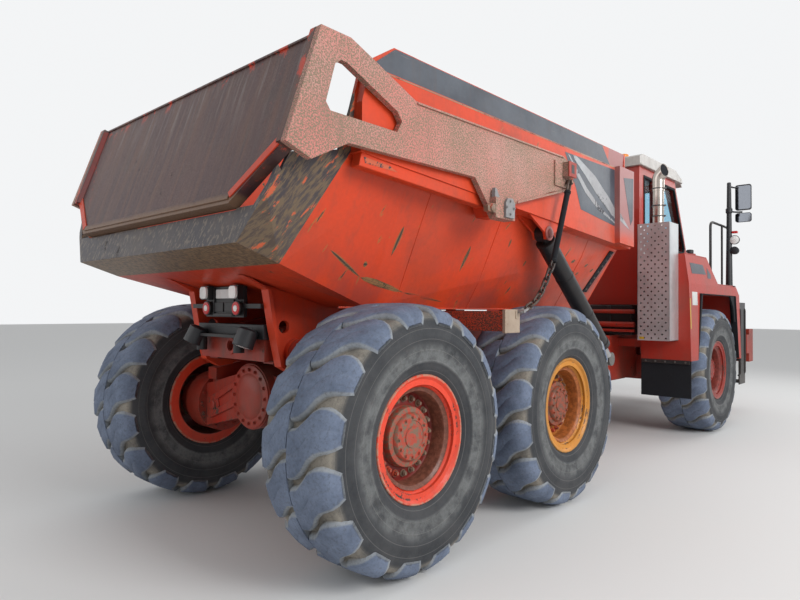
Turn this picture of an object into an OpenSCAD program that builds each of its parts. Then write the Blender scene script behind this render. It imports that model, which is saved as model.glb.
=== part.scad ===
// Articulated dump truck: front chassis with cab, hinged to a rear chassis with a
// walking-beam bogie, a tipping bed and an over-the-top tailgate on side arms.
// Lengths run forward from the rear axle, heights up from the ground, and the whole
// model is then moved so that its origin is under the middle of its length.

/* [Wheels] */
// Outer diameter of a tyre over its lugs
tyre_d = 1600; // [1400:10:1640]
// Width of a tyre at its widest
tyre_w = 600; // [520:10:620]
// Distance between the middles of the left and right wheels
track = 2340; // [2300:10:2500]
// Diameter of the rim's flange
rim_d = 760; // [700:10:800]
// Width of the rim over its flanges
rim_w = 500; // [440:10:520]
// Diameter of the raised hub cap
hub_d = 360; // [280:10:400]
// Distance from the rear axle to the middle axle
bogie_base = 1820; // [1780:10:1900]
// Distance from the rear axle to the front axle
wheelbase = 5980; // [5900:10:6100]

/* [Chassis] */
// Height of the bed's hinge
hinge_z = 1270; // [1230:5:1300]
// Distance of the bed's hinge behind the rear axle
hinge_back = 200; // [150:10:230]
// Distance from the rear axle to the steering pivot
pivot_x = 4300; // [4250:10:4350]
// Height of the roll bearing's axis
pivot_z = 980; // [960:5:1000]
// Height of the rear chassis rails' top
rail_top = 1500; // [1460:5:1510]
// Outer half width of the rear chassis rails
rail_y = 400; // [360:5:405]
// Width of each chassis rail
rail_w = 110; // [80:5:120]
// Radius of the tow hole in the rear cross-member
tow_r = 35; // [25:1:45]

/* [Bed] */
// Thickness of the bed's plates
bed_t = 22; // [15:1:30]
// Height of the bed's floor underside
bed_z = 1570; // [1560:5:1600]
// Half width of the bed's floor
floor_y = 830; // [780:5:850]
// Half width where the sloped side meets the upright side
knee_y = 1200; // [1180:5:1220]
// Half width at the top of the bed
top_y = 1280; // [1250:5:1300]
// Height of the bed's top edge
bed_top = 3130; // [3050:10:3200]
// Front face of the bed
bed_front_x = 3270; // [3200:10:3300]
// Outer half width of the hollow side panels
panel_y = 1335; // [1320:1:1336]

/* [Tailgate] */
// Distance of the tailgate's pivot ahead of the rear axle
gate_pivot_x = 880; // [860:5:900]
// Height of the tailgate's pivot
gate_pivot_z = 2270; // [2250:5:2290]
// Lean of the tailgate from upright, in degrees
gate_lean = 18.5; // [17:0.5:21]
// Thickness of the tailgate panel
gate_t = 65; // [40:5:80]
// Inner half width between the tailgate's arms
arm_y = 1345; // [1345:1:1355]
// Thickness of a tailgate arm
arm_t = 40; // [25:1:45]
// How far the tailgate's end posts stand out behind its face
post_out = 29; // [15:1:45]

/* [Hoist] */
// Distance of the hoist's upper pin behind the middle axle
hoist_top_back = 160; // [140:5:180]
// Height of the hoist's upper pin
hoist_top_z = 2180; // [2160:5:2190]
// Distance of the hoist's lower pin ahead of the middle axle
hoist_low_ahead = 1130; // [1110:5:1150]
// Height of the hoist's lower pin
hoist_low_z = 1100; // [1080:5:1120]
// Diameter of the hoist's outer barrel
hoist_d = 155; // [130:1:158]
// Distance of the hoists from the centre line
hoist_y = 1255; // [1250:1:1258]

/* [Front body] */
// Front face of the bumper
nose_x = 8600; // [8550:10:8700]
// Half width of the cab
cab_y = 800; // [760:5:810]
// Rear face of the cab
cab_rear_x = 4900; // [4880:10:4950]
// Height of the cab's top below its roof
cab_top = 3400; // [3350:10:3450]
// Thickness of the cab's walls
cab_t = 60; // [40:5:80]
// Thickness of the cab's panes
glass_t = 8; // [5:1:12]
// Outer half width of the fenders
fender_y = 1440; // [1420:5:1450]
// Half width of the hood
hood_y = 720; // [680:5:760]
// Thickness of the hood's panels
hood_t = 30; // [20:2:40]

/* [Fits] */
// Radial clearance of a pin in its bore
pin_gap = 0.4; // [0.3:0.1:1]
// Clearance between bodies that move past each other
run_gap = 6; // [5:1:10]

/* [Hidden] */
$fn = 48;
tyre_r = tyre_d / 2;
// tyre that the heights in this file are given for; a bigger one lifts the axles by half of
// the difference and the bodies by all of it, so that they stay clear of the tyres' tops
base_tyre_d = 1600;
wheel_z = base_tyre_d / 2;
axle_lift = tyre_r - wheel_z;
body_lift = max(axle_lift, 2 * axle_lift);
lift_between = body_lift - axle_lift;
wheel_y = track / 2;
front_x = wheelbase;
middle_x = bogie_base;
hoist_top_x = middle_x - hoist_top_back;
hoist_low_x = middle_x + hoist_low_ahead;
hinge_x = -hinge_back;
rail_in = rail_y - rail_w;
gate_x = -950;                      // where the tailgate's outer face crosses gate_z
gate_z = 2350;
gate_low = -267;                    // bottom edge of the tailgate, along its face
gate_knee = 10;                     // where its lower corners are cut off, along its face
gate_high = 645;                    // top edge of the tailgate, along its face
gate_low_y = 980;
gate_side_y = 1300;                 // half width between its end posts
gate_gap = 12;                      // clearance of the chute round the closed tailgate
tail_x = gate_x + gate_low * sin(gate_lean);
mid_x = (tail_x + nose_x) / 2;
seat_gap = 0.1;                     // keeps solids apart where one rests against a sloped face
pin_r = 60;
spindle_r = 70;
hoist_pin_r = 32;
trunnion_r = 45;

// node name, axle position, side (1 left, -1 right), rim colour
WHEELS = [
    ["rear_left", 0, 1, "firebrick"], ["rear_right", 0, -1, "orangered"],
    ["middle_left", middle_x, 1, "goldenrod"], ["middle_right", middle_x, -1, "goldenrod"],
    ["front_left", front_x, 1, "firebrick"], ["front_right", front_x, -1, "firebrick"]
];

// Placing helpers
module placed() { translate([-mid_x, 0, body_lift]) children(); }
module on_axles() { translate([-mid_x, 0, axle_lift]) children(); }
module both() { children(); mirror([0, 1, 0]) children(); }
// an outline in length and height, as thick as y0 to y1
module side_plate(y0, y1, outline) {
    translate([0, y1, 0]) rotate([90, 0, 0]) linear_extrude(y1 - y0) polygon(outline);
}
// an outline in width and height, from x0 to x1
module cross_plate(x0, x1, outline) {
    translate([x0, 0, 0]) rotate([90, 0, 90]) linear_extrude(x1 - x0) polygon(outline);
}
module block(x0, x1, y0, y1, z0, z1) {
    translate([x0, y0, z0]) cube([x1 - x0, y1 - y0, z1 - z0]);
}
module pin_y(x, z, r, y0, y1) { translate([x, y1, z]) rotate([90, 0, 0]) cylinder(r = r, h = y1 - y0); }
module pin_z(x, y, r, z0, z1) { translate([x, y, z0]) cylinder(r = r, h = z1 - z0); }
module pin_x(y, z, r, x0, x1) { translate([x0, y, z]) rotate([0, 90, 0]) cylinder(r = r, h = x1 - x0); }

// Wheels
bead_r = 318;
bead_y = 232;
lugs = 16;                          // on each side of a tyre
groove = 45;                        // depth between them at the shoulder
// Tyre: stations round it, with a lug of one side between two of them and a lug of the other
// side between the next two. A radius is the one over the flats.
module tyre() {
    half_w = tyre_w / 2;
    tread_w = half_w - 42;
    // radius and place across: 0 to 8 the bore, bead, sidewall and grooves in turn,
    // 9 and 10 the ends of a lug of the first side, 11 and 12 of the other
    ring = [[bead_r + seat_gap, -bead_y], [bead_r + seat_gap, bead_y], [rim_d / 2, bead_y],
        [tyre_r - 160, half_w], [tyre_r - groove, half_w - 55], [tyre_r - 30, 0],
        [tyre_r - groove, 55 - half_w], [tyre_r - 160, -half_w], [rim_d / 2, -bead_y],
        [tyre_r - 8, tread_w], [tyre_r, 20], [tyre_r, -20], [tyre_r - 8, -tread_w]];
    around = [[0, 1, 2, 3, 9, 10, 5, 6, 7, 8], [0, 1, 2, 3, 4, 5, 11, 12, 7, 8]];
    walls = [[4, 3, 9], [4, 9, 10], [4, 10, 5], [6, 12, 7], [6, 11, 12], [6, 5, 11]];
    count = 2 * lugs;
    step = 360 / count;
    size = len(ring);
    points = [for (i = [0 : count - 1]) let (a = (i - 0.5) * step - 90) for (p = ring)
        [p[0] / cos(step / 2) * cos(a), p[1], p[0] / cos(step / 2) * sin(a)]];
    skin = [for (i = [0 : count - 1]) let (next = (i + 1) % count, path = around[i % 2])
        for (k = [0 : len(path) - 1]) let (a = path[k], b = path[(k + 1) % len(path)])
            [i * size + a, i * size + b, next * size + b, next * size + a]];
    ends = [for (i = [0 : count - 1]) for (k = [0 : len(walls) - 1]) let (w = walls[k])
        (i % 2 == 0) == (k < 3) ? [i * size + w[0], i * size + w[1], i * size + w[2]]
            : [i * size + w[0], i * size + w[2], i * size + w[1]]];
    polyhedron(points, concat(skin, ends));
}
dish_y = 90;
hub_out = 175;
hub_deep = 120;
dish_t = 45;
module rim() {
    flange = rim_w / 2;
    rotate([90, 0, 0]) rotate_extrude() polygon([
        [spindle_r + pin_gap, dish_y - dish_t], [spindle_r + pin_gap, hub_deep], [0, hub_deep],
        [0, hub_out], [hub_d / 2 - 40, hub_out], [hub_d / 2, hub_out - 30], [hub_d / 2, dish_y],
        [270, dish_y], [272, 190], [300, 205], [340, 236], [rim_d / 2 - 10, flange], [rim_d / 2, flange],
        [rim_d / 2, 233], [bead_r, 233], [bead_r, -233], [rim_d / 2, -233], [rim_d / 2, -flange],
        [300, -flange], [290, -200], [290, dish_y - dish_t]]);
}
module at_wheel(w) {
    on_axles() translate([w[1], w[2] * wheel_y, wheel_z]) mirror([0, w[2] > 0 ? 1 : 0, 0]) children();
}
module wheel_tyre(w) { color("dimgray") at_wheel(w) tyre(); }
module wheel_rim(w) { color(w[3]) at_wheel(w) rim(); }

// Axles: a cranked box with a differential, hub flanges and spindles
axle_in_y = 150;
axle_end_y = 720;
seat_y0 = 560;
seat_y1 = 680;
axle_seat_z = wheel_z + 200;
axle_half = 170;
hub_flange_r = 240;
spindle_out = wheel_y + hub_deep - 5;
module axle(x, crank, seats) {
    end_low = wheel_z - 180;
    end_high = wheel_z + 155;
    translate([x, 0, 0]) {
        cross_plate(-axle_half, axle_half, [[-axle_end_y, end_low], [-axle_in_y, end_low + crank],
            [axle_in_y, end_low + crank], [axle_end_y, end_low], [axle_end_y, end_high],
            [axle_in_y, end_high + crank], [-axle_in_y, end_high + crank], [-axle_end_y, end_high]]);
        pin_x(0, wheel_z + crank - 10, 235, -235, 235);
        both() {
            pin_y(0, wheel_z, hub_flange_r, axle_end_y, wheel_y - 250);
            pin_y(0, wheel_z, 190, wheel_y - 250, wheel_y + dish_y - dish_t - 130);
            pin_y(0, wheel_z, spindle_r, wheel_y + dish_y - dish_t - 130, spindle_out);
            if (seats) block(-140, 140, seat_y0, seat_y1, wheel_z, axle_seat_z);
        }
    }
}
module bogie_axles() {
    color("firebrick") on_axles() { axle(0, 140, true); axle(middle_x, 140, true); }
}
module front_axle() {
    color("firebrick") on_axles() {
        axle(front_x, 0, false);
        both() pin_z(front_x, 350, 48, wheel_z + 140, front_rail_z0 + lift_between);
    }
}
beam_z = axle_seat_z;
module bogie_beams() {
    mid = middle_x / 2;
    color("firebrick") on_axles() both() difference() {
        side_plate(seat_y0, seat_y1, [[-180, beam_z], [180, beam_z], [mid - 400, beam_z - 60],
            [mid + 400, beam_z - 60], [middle_x - 180, beam_z], [middle_x + 180, beam_z],
            [middle_x + 180, beam_z + 90], [mid + 350, beam_z + 230], [mid - 350, beam_z + 230],
            [-180, beam_z + 90]]);
        pin_y(mid, beam_z + 90, 80 + pin_gap, seat_y0 - 1, seat_y1 + 1);
    }
}
module propshafts() {
    z = wheel_z + 130;
    color("dimgray") on_axles() {
        for (s = [[235, middle_x - 235], [middle_x + 235, nose_tube_x0]]) {
            pin_x(0, z, 55, s[0], s[1]);
            for (x = [s[0], s[1] - 90]) pin_x(0, z, 95, x, x + 90);
        }
    }
}

// Rear chassis
nose_tube_x0 = 3330;
nose_tube_x1 = 3800;
nose_tube_r = 225;
hitch_shaft_r = 150;
tail_member_x = -400;
tow_z = 1300;
anchor_x = 1030;
anchor_z = 1540;
anchor_y = 1400;
bogie_pin_z = beam_z + 90 - lift_between;
module rear_rails() {
    both() side_plate(rail_in, rail_y, [[hinge_x - 130, 1190], [hinge_x - 130, 1340], [hinge_x - 60, 1420],
        [150, rail_top], [3100, rail_top], [3560, 1260], [3560, 740], [3240, 740], [2760, 1120],
        [150, 1120]]);
}
module rear_frame() {
    color("firebrick") placed() difference() {
        union() {
            rear_rails();
            for (x = [300, 1250, 2250, 2900]) block(x, x + 120, -rail_in, rail_in, 1180, rail_top - 60);
            block(tail_member_x, tail_member_x + 90, -rail_y, rail_y, tow_z - 90, tow_z + 60);
            block(3500, 3560, -rail_y, rail_y, 740, 1260);
            pin_x(0, pivot_z, nose_tube_r, nose_tube_x0, nose_tube_x1);
            pin_y(middle_x / 2, bogie_pin_z, 80, -760, 760);
            both() {
                // hanger of the bogie's pin
                block(middle_x / 2 - 110, middle_x / 2 + 110, rail_in, rail_y, bogie_pin_z, 1200);
                // cap of the hinge pin
                pin_y(hinge_x, hinge_z, 88, 506, 530);
            }
            pin_y(hinge_x, hinge_z, pin_r, -510, 510);
            // rest pads under the bed
            both() for (x = [700, 2500]) block(x, x + 220, rail_in + 10, rail_y - 10, rail_top, bed_z - run_gap);
        }
        pin_x(0, pivot_z, hitch_shaft_r, nose_tube_x0 - 1, nose_tube_x1 + 1);
        pin_x(0, tow_z, tow_r, tail_member_x - 1, tail_member_x + 91);
    }
}
// beams out from the rails that the tailgate's chains and the hoists' rods are fixed to
module outriggers() {
    color("firebrick") placed() both() {
        block(anchor_x - 110, anchor_x + 60, rail_y, anchor_y - 25, 1410, 1555);
        block(anchor_x - 120, anchor_x + 70, anchor_y - 25, anchor_y - 5, 1400, 1565);
        pin_y(hoist_low_x, hoist_low_z, 62, rail_y, hoist_y - 66);
        pin_y(hoist_low_x, hoist_low_z, 105, hoist_y - 66, hoist_y - 46);
        block(hoist_low_x - 60, hoist_low_x + 60, rail_y, rail_y + 60, hoist_low_z, 1300);
    }
}
module tail_box() {
    color("black") placed() {
        block(tail_member_x - 20, tail_member_x + 90, -235, 235, tow_z + 60, 1450);
        for (y = [-190, 290]) pin_z(tail_member_x - 58, y, 37, 1262, 1362);
        block(tail_member_x - 97, tail_member_x - 20, -235, 335, 1362, 1382);
    }
}
module hitch() {
    color("firebrick") placed() {
        difference() {
            union() {
                pin_x(0, pivot_z, hitch_shaft_r - pin_gap, nose_tube_x0 + 30, nose_tube_x1 + run_gap);
                pin_x(0, pivot_z, nose_tube_r, nose_tube_x1 + run_gap, nose_tube_x1 + 60);
                block(nose_tube_x1 + 60, pivot_x, -100, 100, pivot_z - 150, pivot_z + 150);
                pin_z(pivot_x, 0, 135, pivot_z - 234, pivot_z + 234);
                side = 260;
                both() {
                    pin_z(pivot_x, side, 58, pivot_z - 80, pivot_z - 50);
                    block(pivot_x - 58, pivot_x + 58, 90, side, pivot_z - 80, pivot_z - 50);
                }
            }
            pin_z(pivot_x, 0, pin_r + pin_gap, pivot_z - 240, pivot_z + 240);
            pin_x(0, pivot_z, 95, nose_tube_x0, nose_tube_x1 + 30);
        }
    }
}

// Bed. Columns: x, half width and height of the floor's edge, half width and height of the knee
chute_x = -755;
BED_OUT = [
    [bed_front_x, floor_y, bed_z, knee_y, bed_z + 610],
    [100, floor_y + 10, bed_z, knee_y, bed_z + 815],
    [chute_x, 1040, bed_z + 232, knee_y + 67, bed_z + 821],
    [-1100, 1046, bed_z + 348, panel_y - 3, bed_z + 760]
];
BED_IN = [
    [bed_front_x, floor_y - 14, bed_z + bed_t, knee_y - bed_t, bed_z + 616],
    [100, floor_y - 4, bed_z + bed_t, knee_y - bed_t, bed_z + 821],
    [chute_x, 1080, bed_z + 405, knee_y + 67 - bed_t, bed_z + 827],
    [-1110, 1168, bed_z + 564, panel_y - 3 - bed_t, bed_z + 770]
];
// height of the knee line at a place along the bed's straight part
function knee_at(x) = let (a = BED_OUT[0], b = BED_OUT[1]) a[4] + (b[4] - a[4]) * (a[0] - x) / (a[0] - b[0]);
module bed_ring(s, inset) {
    top = top_y - inset;
    cross_plate(s[0] - 0.5, s[0] + 0.5, [[-s[1], s[2]], [s[1], s[2]], [s[3], s[4]],
        [max(top, s[3]), bed_top + inset * 2], [-max(top, s[3]), bed_top + inset * 2], [-s[3], s[4]]]);
}
module bed_skin(table, i, inset) { hull() { bed_ring(table[i], inset); bed_ring(table[i + 1], inset); } }
plate_y = floor_y - 40;
module bed_outline(y) {
    side_plate(-y, y, [[bed_front_x + 1, 1400], [bed_front_x + 1, bed_top], [-120, bed_top - 20],
        [-380, bed_top - 190], [-520, 2430], [-915, 2335], [-985, 2085], [-1025, 1893], [-1025, 1400]]);
}
// what is chute and not side, behind a slanted line
module chute_zone() {
    side_plate(-2000, 2000, [[-1200, 1400], [chute_x, 1400], [chute_x, bed_z + 232], [-475, 2365],
        [-430, 2440], [-430, 3400], [-1200, 3400]]);
}
module bed_part(first, last, ribs) {
    intersection() {
        difference() {
            union() {
                for (i = [first : last]) bed_skin(BED_OUT, i, 0);
                if (ribs) side_ribs();
            }
            for (i = [first : last]) bed_skin(BED_IN, i, bed_t);
        }
        bed_outline(2000);
    }
}
// hollow panels along both sides, as thick as the whole wall, with the ledge on top
ledge_z = 2915;
post_x0 = 2900;
module side_ribs() {
    both() {
        difference() {
            side_plate(knee_y - 60, panel_y, [[-500, 2430], [-385, ledge_z - 40], [-360, ledge_z],
                [bed_front_x, ledge_z + 25], [bed_front_x, knee_at(bed_front_x)], [100, knee_at(100)], [-300, 2410]]);
            for (i = [0 : 1]) bed_skin(BED_IN, i, bed_t);
        }
        side_plate(panel_y - 1, panel_y + 50, [[post_x0, 2210], [post_x0, ledge_z + 25],
            [bed_front_x - 30, ledge_z + 25], [bed_front_x - 30, 2195]]);
    }
}
module floor_zone() {
    translate([0, 0, 1400]) linear_extrude(640) polygon([[bed_front_x - bed_t, -plate_y],
        [bed_front_x - bed_t, plate_y], [chute_x, plate_y], [chute_x, -plate_y]]);
}
module bed_floor() {
    color("firebrick") placed() difference() {
        intersection() { bed_part(0, 1, false); floor_zone(); }
        chute_zone();
    }
}
module bed_sides() {
    color("orangered") placed() difference() {
        bed_part(0, 1, true);
        chute_zone();
        floor_zone();
        block(chute_x - 1, bed_front_x + 1, -700, 700, 1400, 3400);
        block(bed_front_x - bed_t, bed_front_x + 1, -2000, 2000, 1400, 3400);
    }
}
module bed_front() {
    knee_z = knee_at(bed_front_x);
    half = [[floor_y, bed_z], [knee_y, knee_z], [panel_y, knee_z], [panel_y, ledge_z + 25],
        [top_y, ledge_z + 25], [top_y, bed_top]];
    color("firebrick") placed() cross_plate(bed_front_x - bed_t, bed_front_x,
        concat(half, [for (i = [len(half) - 1 : -1 : 0]) [-half[i][0], half[i][1]]]));
}
module gate_face(side, grow) {
    polygon([[-gate_low_y, gate_low - grow], [gate_low_y, gate_low - grow], [side, gate_knee - grow],
        [side, gate_high], [-side, gate_high], [-side, gate_knee - grow]]);
}
module on_gate(x0, x1) {
    translate([gate_x, 0, gate_z]) rotate([0, gate_lean, 0]) translate([x0, 0, 0])
        rotate([90, 0, 90]) linear_extrude(x1 - x0) children();
}
module bed_chute() {
    color("dimgray") placed() difference() {
        intersection() {
            bed_part(1, 2, false);
            chute_zone();
        }
        on_gate(-200, gate_t + gate_gap) gate_face(arm_y + gate_gap, gate_gap);
    }
}
// Hinge ears under the floor, hoist gussets and the tailgate's trunnions
ear_y = 430;
ear_t = 30;
module ear_outline() {
    polygon([[-640, 1766], [-450, 1680], [-400, 1420], [-340, 1180], [-230, 1120], [-120, 1130],
        [120, 1280], [620, bed_z - 1], [100, bed_z - 1]]);
}
module bed_brackets() {
    color("firebrick") placed() both() {
        difference() {
            union() {
                translate([0, ear_y + ear_t, 0]) rotate([90, 0, 0]) linear_extrude(ear_t) ear_outline();
                translate([0, ear_y + 75, 0]) rotate([90, 0, 0]) linear_extrude(75)
                    difference() { ear_outline(); translate([26, 0]) ear_outline(); }
                pin_y(hinge_x, hinge_z, 90, ear_y, ear_y + 70);
            }
            pin_y(hinge_x, hinge_z, pin_r + pin_gap, ear_y - 1, ear_y + 80);
            pin_y(-290, 1440, 42, ear_y - 1, ear_y + 80);
        }
        // gusset plates either side of the hoist's eye
        for (y = [hoist_y - 54, hoist_y + 46])
            side_plate(y, y + 20, [[hoist_top_x - 300, knee_at(hoist_top_x - 300) - seat_gap],
                [hoist_top_x + 300, knee_at(hoist_top_x + 300) - seat_gap], [hoist_top_x + 65, hoist_top_z + 5],
                [hoist_top_x + 45, hoist_top_z - 50], [hoist_top_x - 45, hoist_top_z - 50],
                [hoist_top_x - 65, hoist_top_z + 5]]);
        pin_y(hoist_top_x, hoist_top_z, hoist_pin_r, hoist_y - 40, hoist_y + 50);
        // block that carries the tailgate's trunnion
        side_plate(knee_y + 5, panel_y, [[gate_pivot_x - 130, knee_at(gate_pivot_x - 130) - seat_gap],
            [gate_pivot_x + 130, knee_at(gate_pivot_x + 130) - seat_gap], [gate_pivot_x + 60, gate_pivot_z - 55],
            [gate_pivot_x - 60, gate_pivot_z - 55]]);
        pin_y(gate_pivot_x, gate_pivot_z, trunnion_r, panel_y - 5, arm_y + arm_t + 60);
    }
}
module tail_lamps() {
    color("black") placed() {
        cross_plate(-455, -430, [[-240, 1500], [240, 1500], [240, 1708], [-240, 1708]]);
        both() {
            block(-500, -455, 140, 235, 1620, 1715);
            pin_x(190, 1560, 48, -480, -455);
            block(-455, -430, 240, ear_y, 1560, 1590);
        }
    }
}

// Tailgate
module tailgate() {
    color("rosybrown") placed() {
        on_gate(0, gate_t) gate_face(gate_side_y, 0);
        post_w = arm_y - seat_gap - gate_side_y;
        for (y = [-gate_side_y - post_w, gate_side_y]) on_gate(-post_out, gate_t)
            translate([y, gate_knee]) square([post_w, gate_high + 20 - gate_knee]);
    }
}
module arm_outline() {
    polygon([[-765, 2990], [-560, 2990], [-400, 2930], [-40, 2790], [1780, 2815], [1880, 2780],
        [1910, 2700], [1910, 2560], [1600, 2500], [1060, 2330], [gate_pivot_x + 90, gate_pivot_z - 80],
        [gate_pivot_x - 90, gate_pivot_z - 80], [560, 2440], [-570, 2430], [-820, 2300], [-978, 2360]]);
}
module arm_window() {
    polygon([[-630, 2850], [-670, 2820], [-730, 2610], [-700, 2570], [-200, 2570], [-160, 2640],
        [-200, 2690], [-590, 2850]]);
}
module tailgate_arms() {
    color("rosybrown") placed() both() difference() {
        union() {
            translate([0, arm_y + arm_t, 0]) rotate([90, 0, 0]) linear_extrude(arm_t)
                difference() { arm_outline(); arm_window(); }
            block(gate_pivot_x - 150, gate_pivot_x + 90, arm_y + arm_t, arm_y + arm_t + 50,
                gate_pivot_z - 80, gate_pivot_z + 60);
            // bracket that the chain hangs from
            block(1620, 1880, arm_y + arm_t, arm_y + arm_t + 14, 2555, 2755);
            block(1740, 1860, arm_y + arm_t, arm_y + arm_t + 70, 2640, 2755);
            pin_y(chain_top[0], chain_top[1], chain_pin_r, arm_y + arm_t, chain_y + link_half);
        }
        pin_y(gate_pivot_x, gate_pivot_z, trunnion_r + pin_gap, arm_y - 1, arm_y + arm_t + 51);
    }
}
// Chains: a top link on a pin of the arm, a sleeve over the upper part, links down to the shackle
chain_top = [1800, 2600];
sleeve_top = [1766, 2520];
// where the links meet, from the sleeve's lower end down: x, z
LINKS = [[1533, 1935], [1490, 1880], [1445, 1822], [1403, 1763], [1357, 1708], [1306, 1658],
    [1245, 1620], [1178, 1590], [1112, 1566]];
chain_y = arm_y + arm_t + 45;
chain_r = 26;
link_half = 28;
link_rod = 8;
link_lap = 12;                      // how far a link reaches past where it meets the next
chain_pin_r = 12;
module along(a, b) {
    d = b - a;
    translate([a[0], chain_y, a[1]]) rotate([0, -atan2(d[1], d[0]), 0]) children();
}
module link(a, b, flat) {
    end = norm(b - a);
    along(a, b) if (flat) side_plate(-link_rod, link_rod, [[-link_lap - 6, 0], [link_lap, -link_half],
        [end - link_lap, -link_half], [end + link_lap + 6, 0], [end - link_lap, link_half], [link_lap, link_half]]);
    else block(-link_lap, end + link_lap, -link_half, link_half, -link_rod, link_rod);
}
module gate_chains() {
    last = len(LINKS) - 1;
    color("dimgray") placed() both() {
        difference() {
            along(chain_top, sleeve_top) block(-chain_r, norm(sleeve_top - chain_top) + 5, -14, 14, -20, 20);
            pin_y(chain_top[0], chain_top[1], chain_pin_r + pin_gap, chain_y - 20, chain_y + 20, $fn = 16);
        }
        along(sleeve_top, LINKS[0]) rotate([0, 90, 0]) cylinder(r = chain_r, h = norm(LINKS[0] - sleeve_top), $fn = 8);
        for (i = [0 : last - 1]) link(LINKS[i], LINKS[i + 1], i % 2 == 0);
        // shackle
        along(LINKS[last], LINKS[last] + [-40, -14]) block(-16, 46, -20, 20, -link_half, link_half);
    }
}

// Hoists: barrel on the bed, two stages, rod eye at the chassis
hoist_lean = atan2(hoist_low_z - hoist_top_z, hoist_low_x - hoist_top_x);
hoist_len = sqrt(pow(hoist_low_z - hoist_top_z, 2) + pow(hoist_low_x - hoist_top_x, 2));
barrel_len = hoist_len - 240;
module on_hoist() {
    placed() both() translate([hoist_top_x, hoist_y, hoist_top_z]) rotate([0, -hoist_lean, 0]) children();
}
sleeve_r = hoist_d / 2 - 22;
rod_r = sleeve_r - 14;
module hoist_barrels() {
    color("dimgray") on_hoist() difference() {
        union() {
            pin_y(0, 0, 60, -32, 40);
            translate([20, 0, 0]) pin_x(0, 0, hoist_d / 2, 60, barrel_len);
            pin_x(0, 0, 30, 30, 90);
        }
        pin_y(0, 0, hoist_pin_r + pin_gap, -40, 40);
        pin_x(0, 0, sleeve_r + pin_gap, 110, barrel_len + 30);
    }
}
module hoist_sleeves() {
    color("silver") on_hoist() difference() {
        pin_x(0, 0, sleeve_r, 115, barrel_len + 40);
        pin_x(0, 0, rod_r + pin_gap, 130, barrel_len + 41);
    }
}
module hoist_rods() {
    color("silver") on_hoist() {
        pin_x(0, 0, rod_r, 135, hoist_len - 55);
        pin_y(hoist_len, 0, 60, -45, 34);
    }
}

// Steering cylinders between the front chassis and the hitch
steer_y = 300;
steer_eye_y = 260;
steer_back = 1050;
steer_len = sqrt(pow(steer_back, 2) + pow(steer_y - steer_eye_y, 2));
steer_turn = atan2(steer_y - steer_eye_y, steer_back);
steer_r = 48;
module on_steer(side) {
    placed() mirror([0, side > 0 ? 0 : 1, 0]) translate([pivot_x + steer_back, steer_y, pivot_z])
        rotate([0, 0, 180 + steer_turn]) children();
}
module steer_barrel(side) {
    color("dimgray") on_steer(side) difference() {
        union() {
            pin_z(0, 0, 55, -40, 40);
            pin_x(0, 0, steer_r, 40, steer_len - 330);
        }
        pin_z(0, 0, 30 + pin_gap, -41, 41);
        pin_x(0, 0, 28 + pin_gap, 90, steer_len - 329);
    }
}
module steer_rod(side) {
    color("silver") on_steer(side) {
        pin_x(0, 0, 28, 300, steer_len - 30);
        pin_z(steer_len, 0, 50, -49, 45);
    }
}

// Front chassis
front_rail_z0 = 1080;
front_rail_z1 = 1400;
hood_x = 8450;
hood_z = 1500;
hood_pin_r = 20;
plate_low = pivot_z - 240;
plate_high = pivot_z + 240;
module front_frame() {
    color("firebrick") placed() {
        for (z = [plate_low - 40, plate_high])
            block(pivot_x - 180, 5450, -550, 550, z, z + 40);
        both() {
            block(pivot_x - 150, 5450, 530, 550, plate_low, plate_high);
            block(5000, 8350, 300, 400, front_rail_z0 + 180, front_rail_z1);
            block(5430, 8350, 300, 400, front_rail_z0, front_rail_z1);
            pin_z(pivot_x + steer_back, steer_y, 30, plate_low, plate_high);
            block(4850, 4980, 550, 860, 1120, 1220);
            block(6930, 7010, 400, 860, 1180, 1300);
            for (x = [5100, 6450]) pin_z(x, 350, 45, front_rail_z1, cab_floor);
        }
        block(5430, 5450, -550, 550, plate_low - 40, plate_high + 40);
        block(8250, 8350, -300, 300, front_rail_z0, front_rail_z1);
        pin_z(pivot_x, 0, pin_r, plate_low, plate_high);
        // brackets and pins of the hood's hinge
        both() {
            side_plate(340, 380, [[8200, front_rail_z1], [8350, front_rail_z1], [8350, 1300], [8480, hood_z - 30],
                [8480, hood_z + 30], [8420, hood_z + 30]]);
            pin_y(hood_x, hood_z, hood_pin_r, 375, 440);
        }
    }
}
module powertrain() {
    color("gray") placed() {
        block(6900, 8150, -300, 300, 1150, 2050);
        block(5500, 6800, -300, 300, 1200, 1485);
    }
}
arch_z = 1790;
deck_z = 1920;
module fender_outline(deck_x) {
    polygon([[4800, 980], [4800, 2250], [deck_x, 2250], [deck_x + 350, deck_z], [6850, deck_z], [7020, 1800],
        [7020, 900], [6930, 900], [6760, arch_z], [5200, arch_z], [5070, 980]]);
}
module fender_section() {
    polygon([[860, 800], [fender_y + 10, 800], [fender_y - 20, 1900], [fender_y - 70, 2260], [820, 2260],
        [820, arch_z], [860, arch_z]]);
}
module fenders() {
    color("indianred") placed() {
        for (s = [[1, 5150], [-1, 5650]]) mirror([0, s[0] > 0 ? 0 : 1, 0]) intersection() {
            translate([0, fender_y + 20, 0]) rotate([90, 0, 0]) linear_extrude(fender_y) fender_outline(s[1]);
            translate([4700, 0, 0]) rotate([90, 0, 90]) linear_extrude(2400) fender_section();
        }
    }
}
module mudflaps() {
    color("black") placed() both() block(4806, 4822, 860, fender_y, 540, 980);
}
module steps() {
    color("dimgray") placed() both() {
        for (y = [1010, fender_y - 30]) block(7020, 7330, y, y + 16, 520, 1700);
        for (z = [540, 860, 1180, 1500]) block(7040, 7330, 1026, fender_y - 30, z, z + 20);
    }
}
module bumper_lamp() { block(nose_x - 30, nose_x, 820, 1080, 1000, 1180); }
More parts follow.
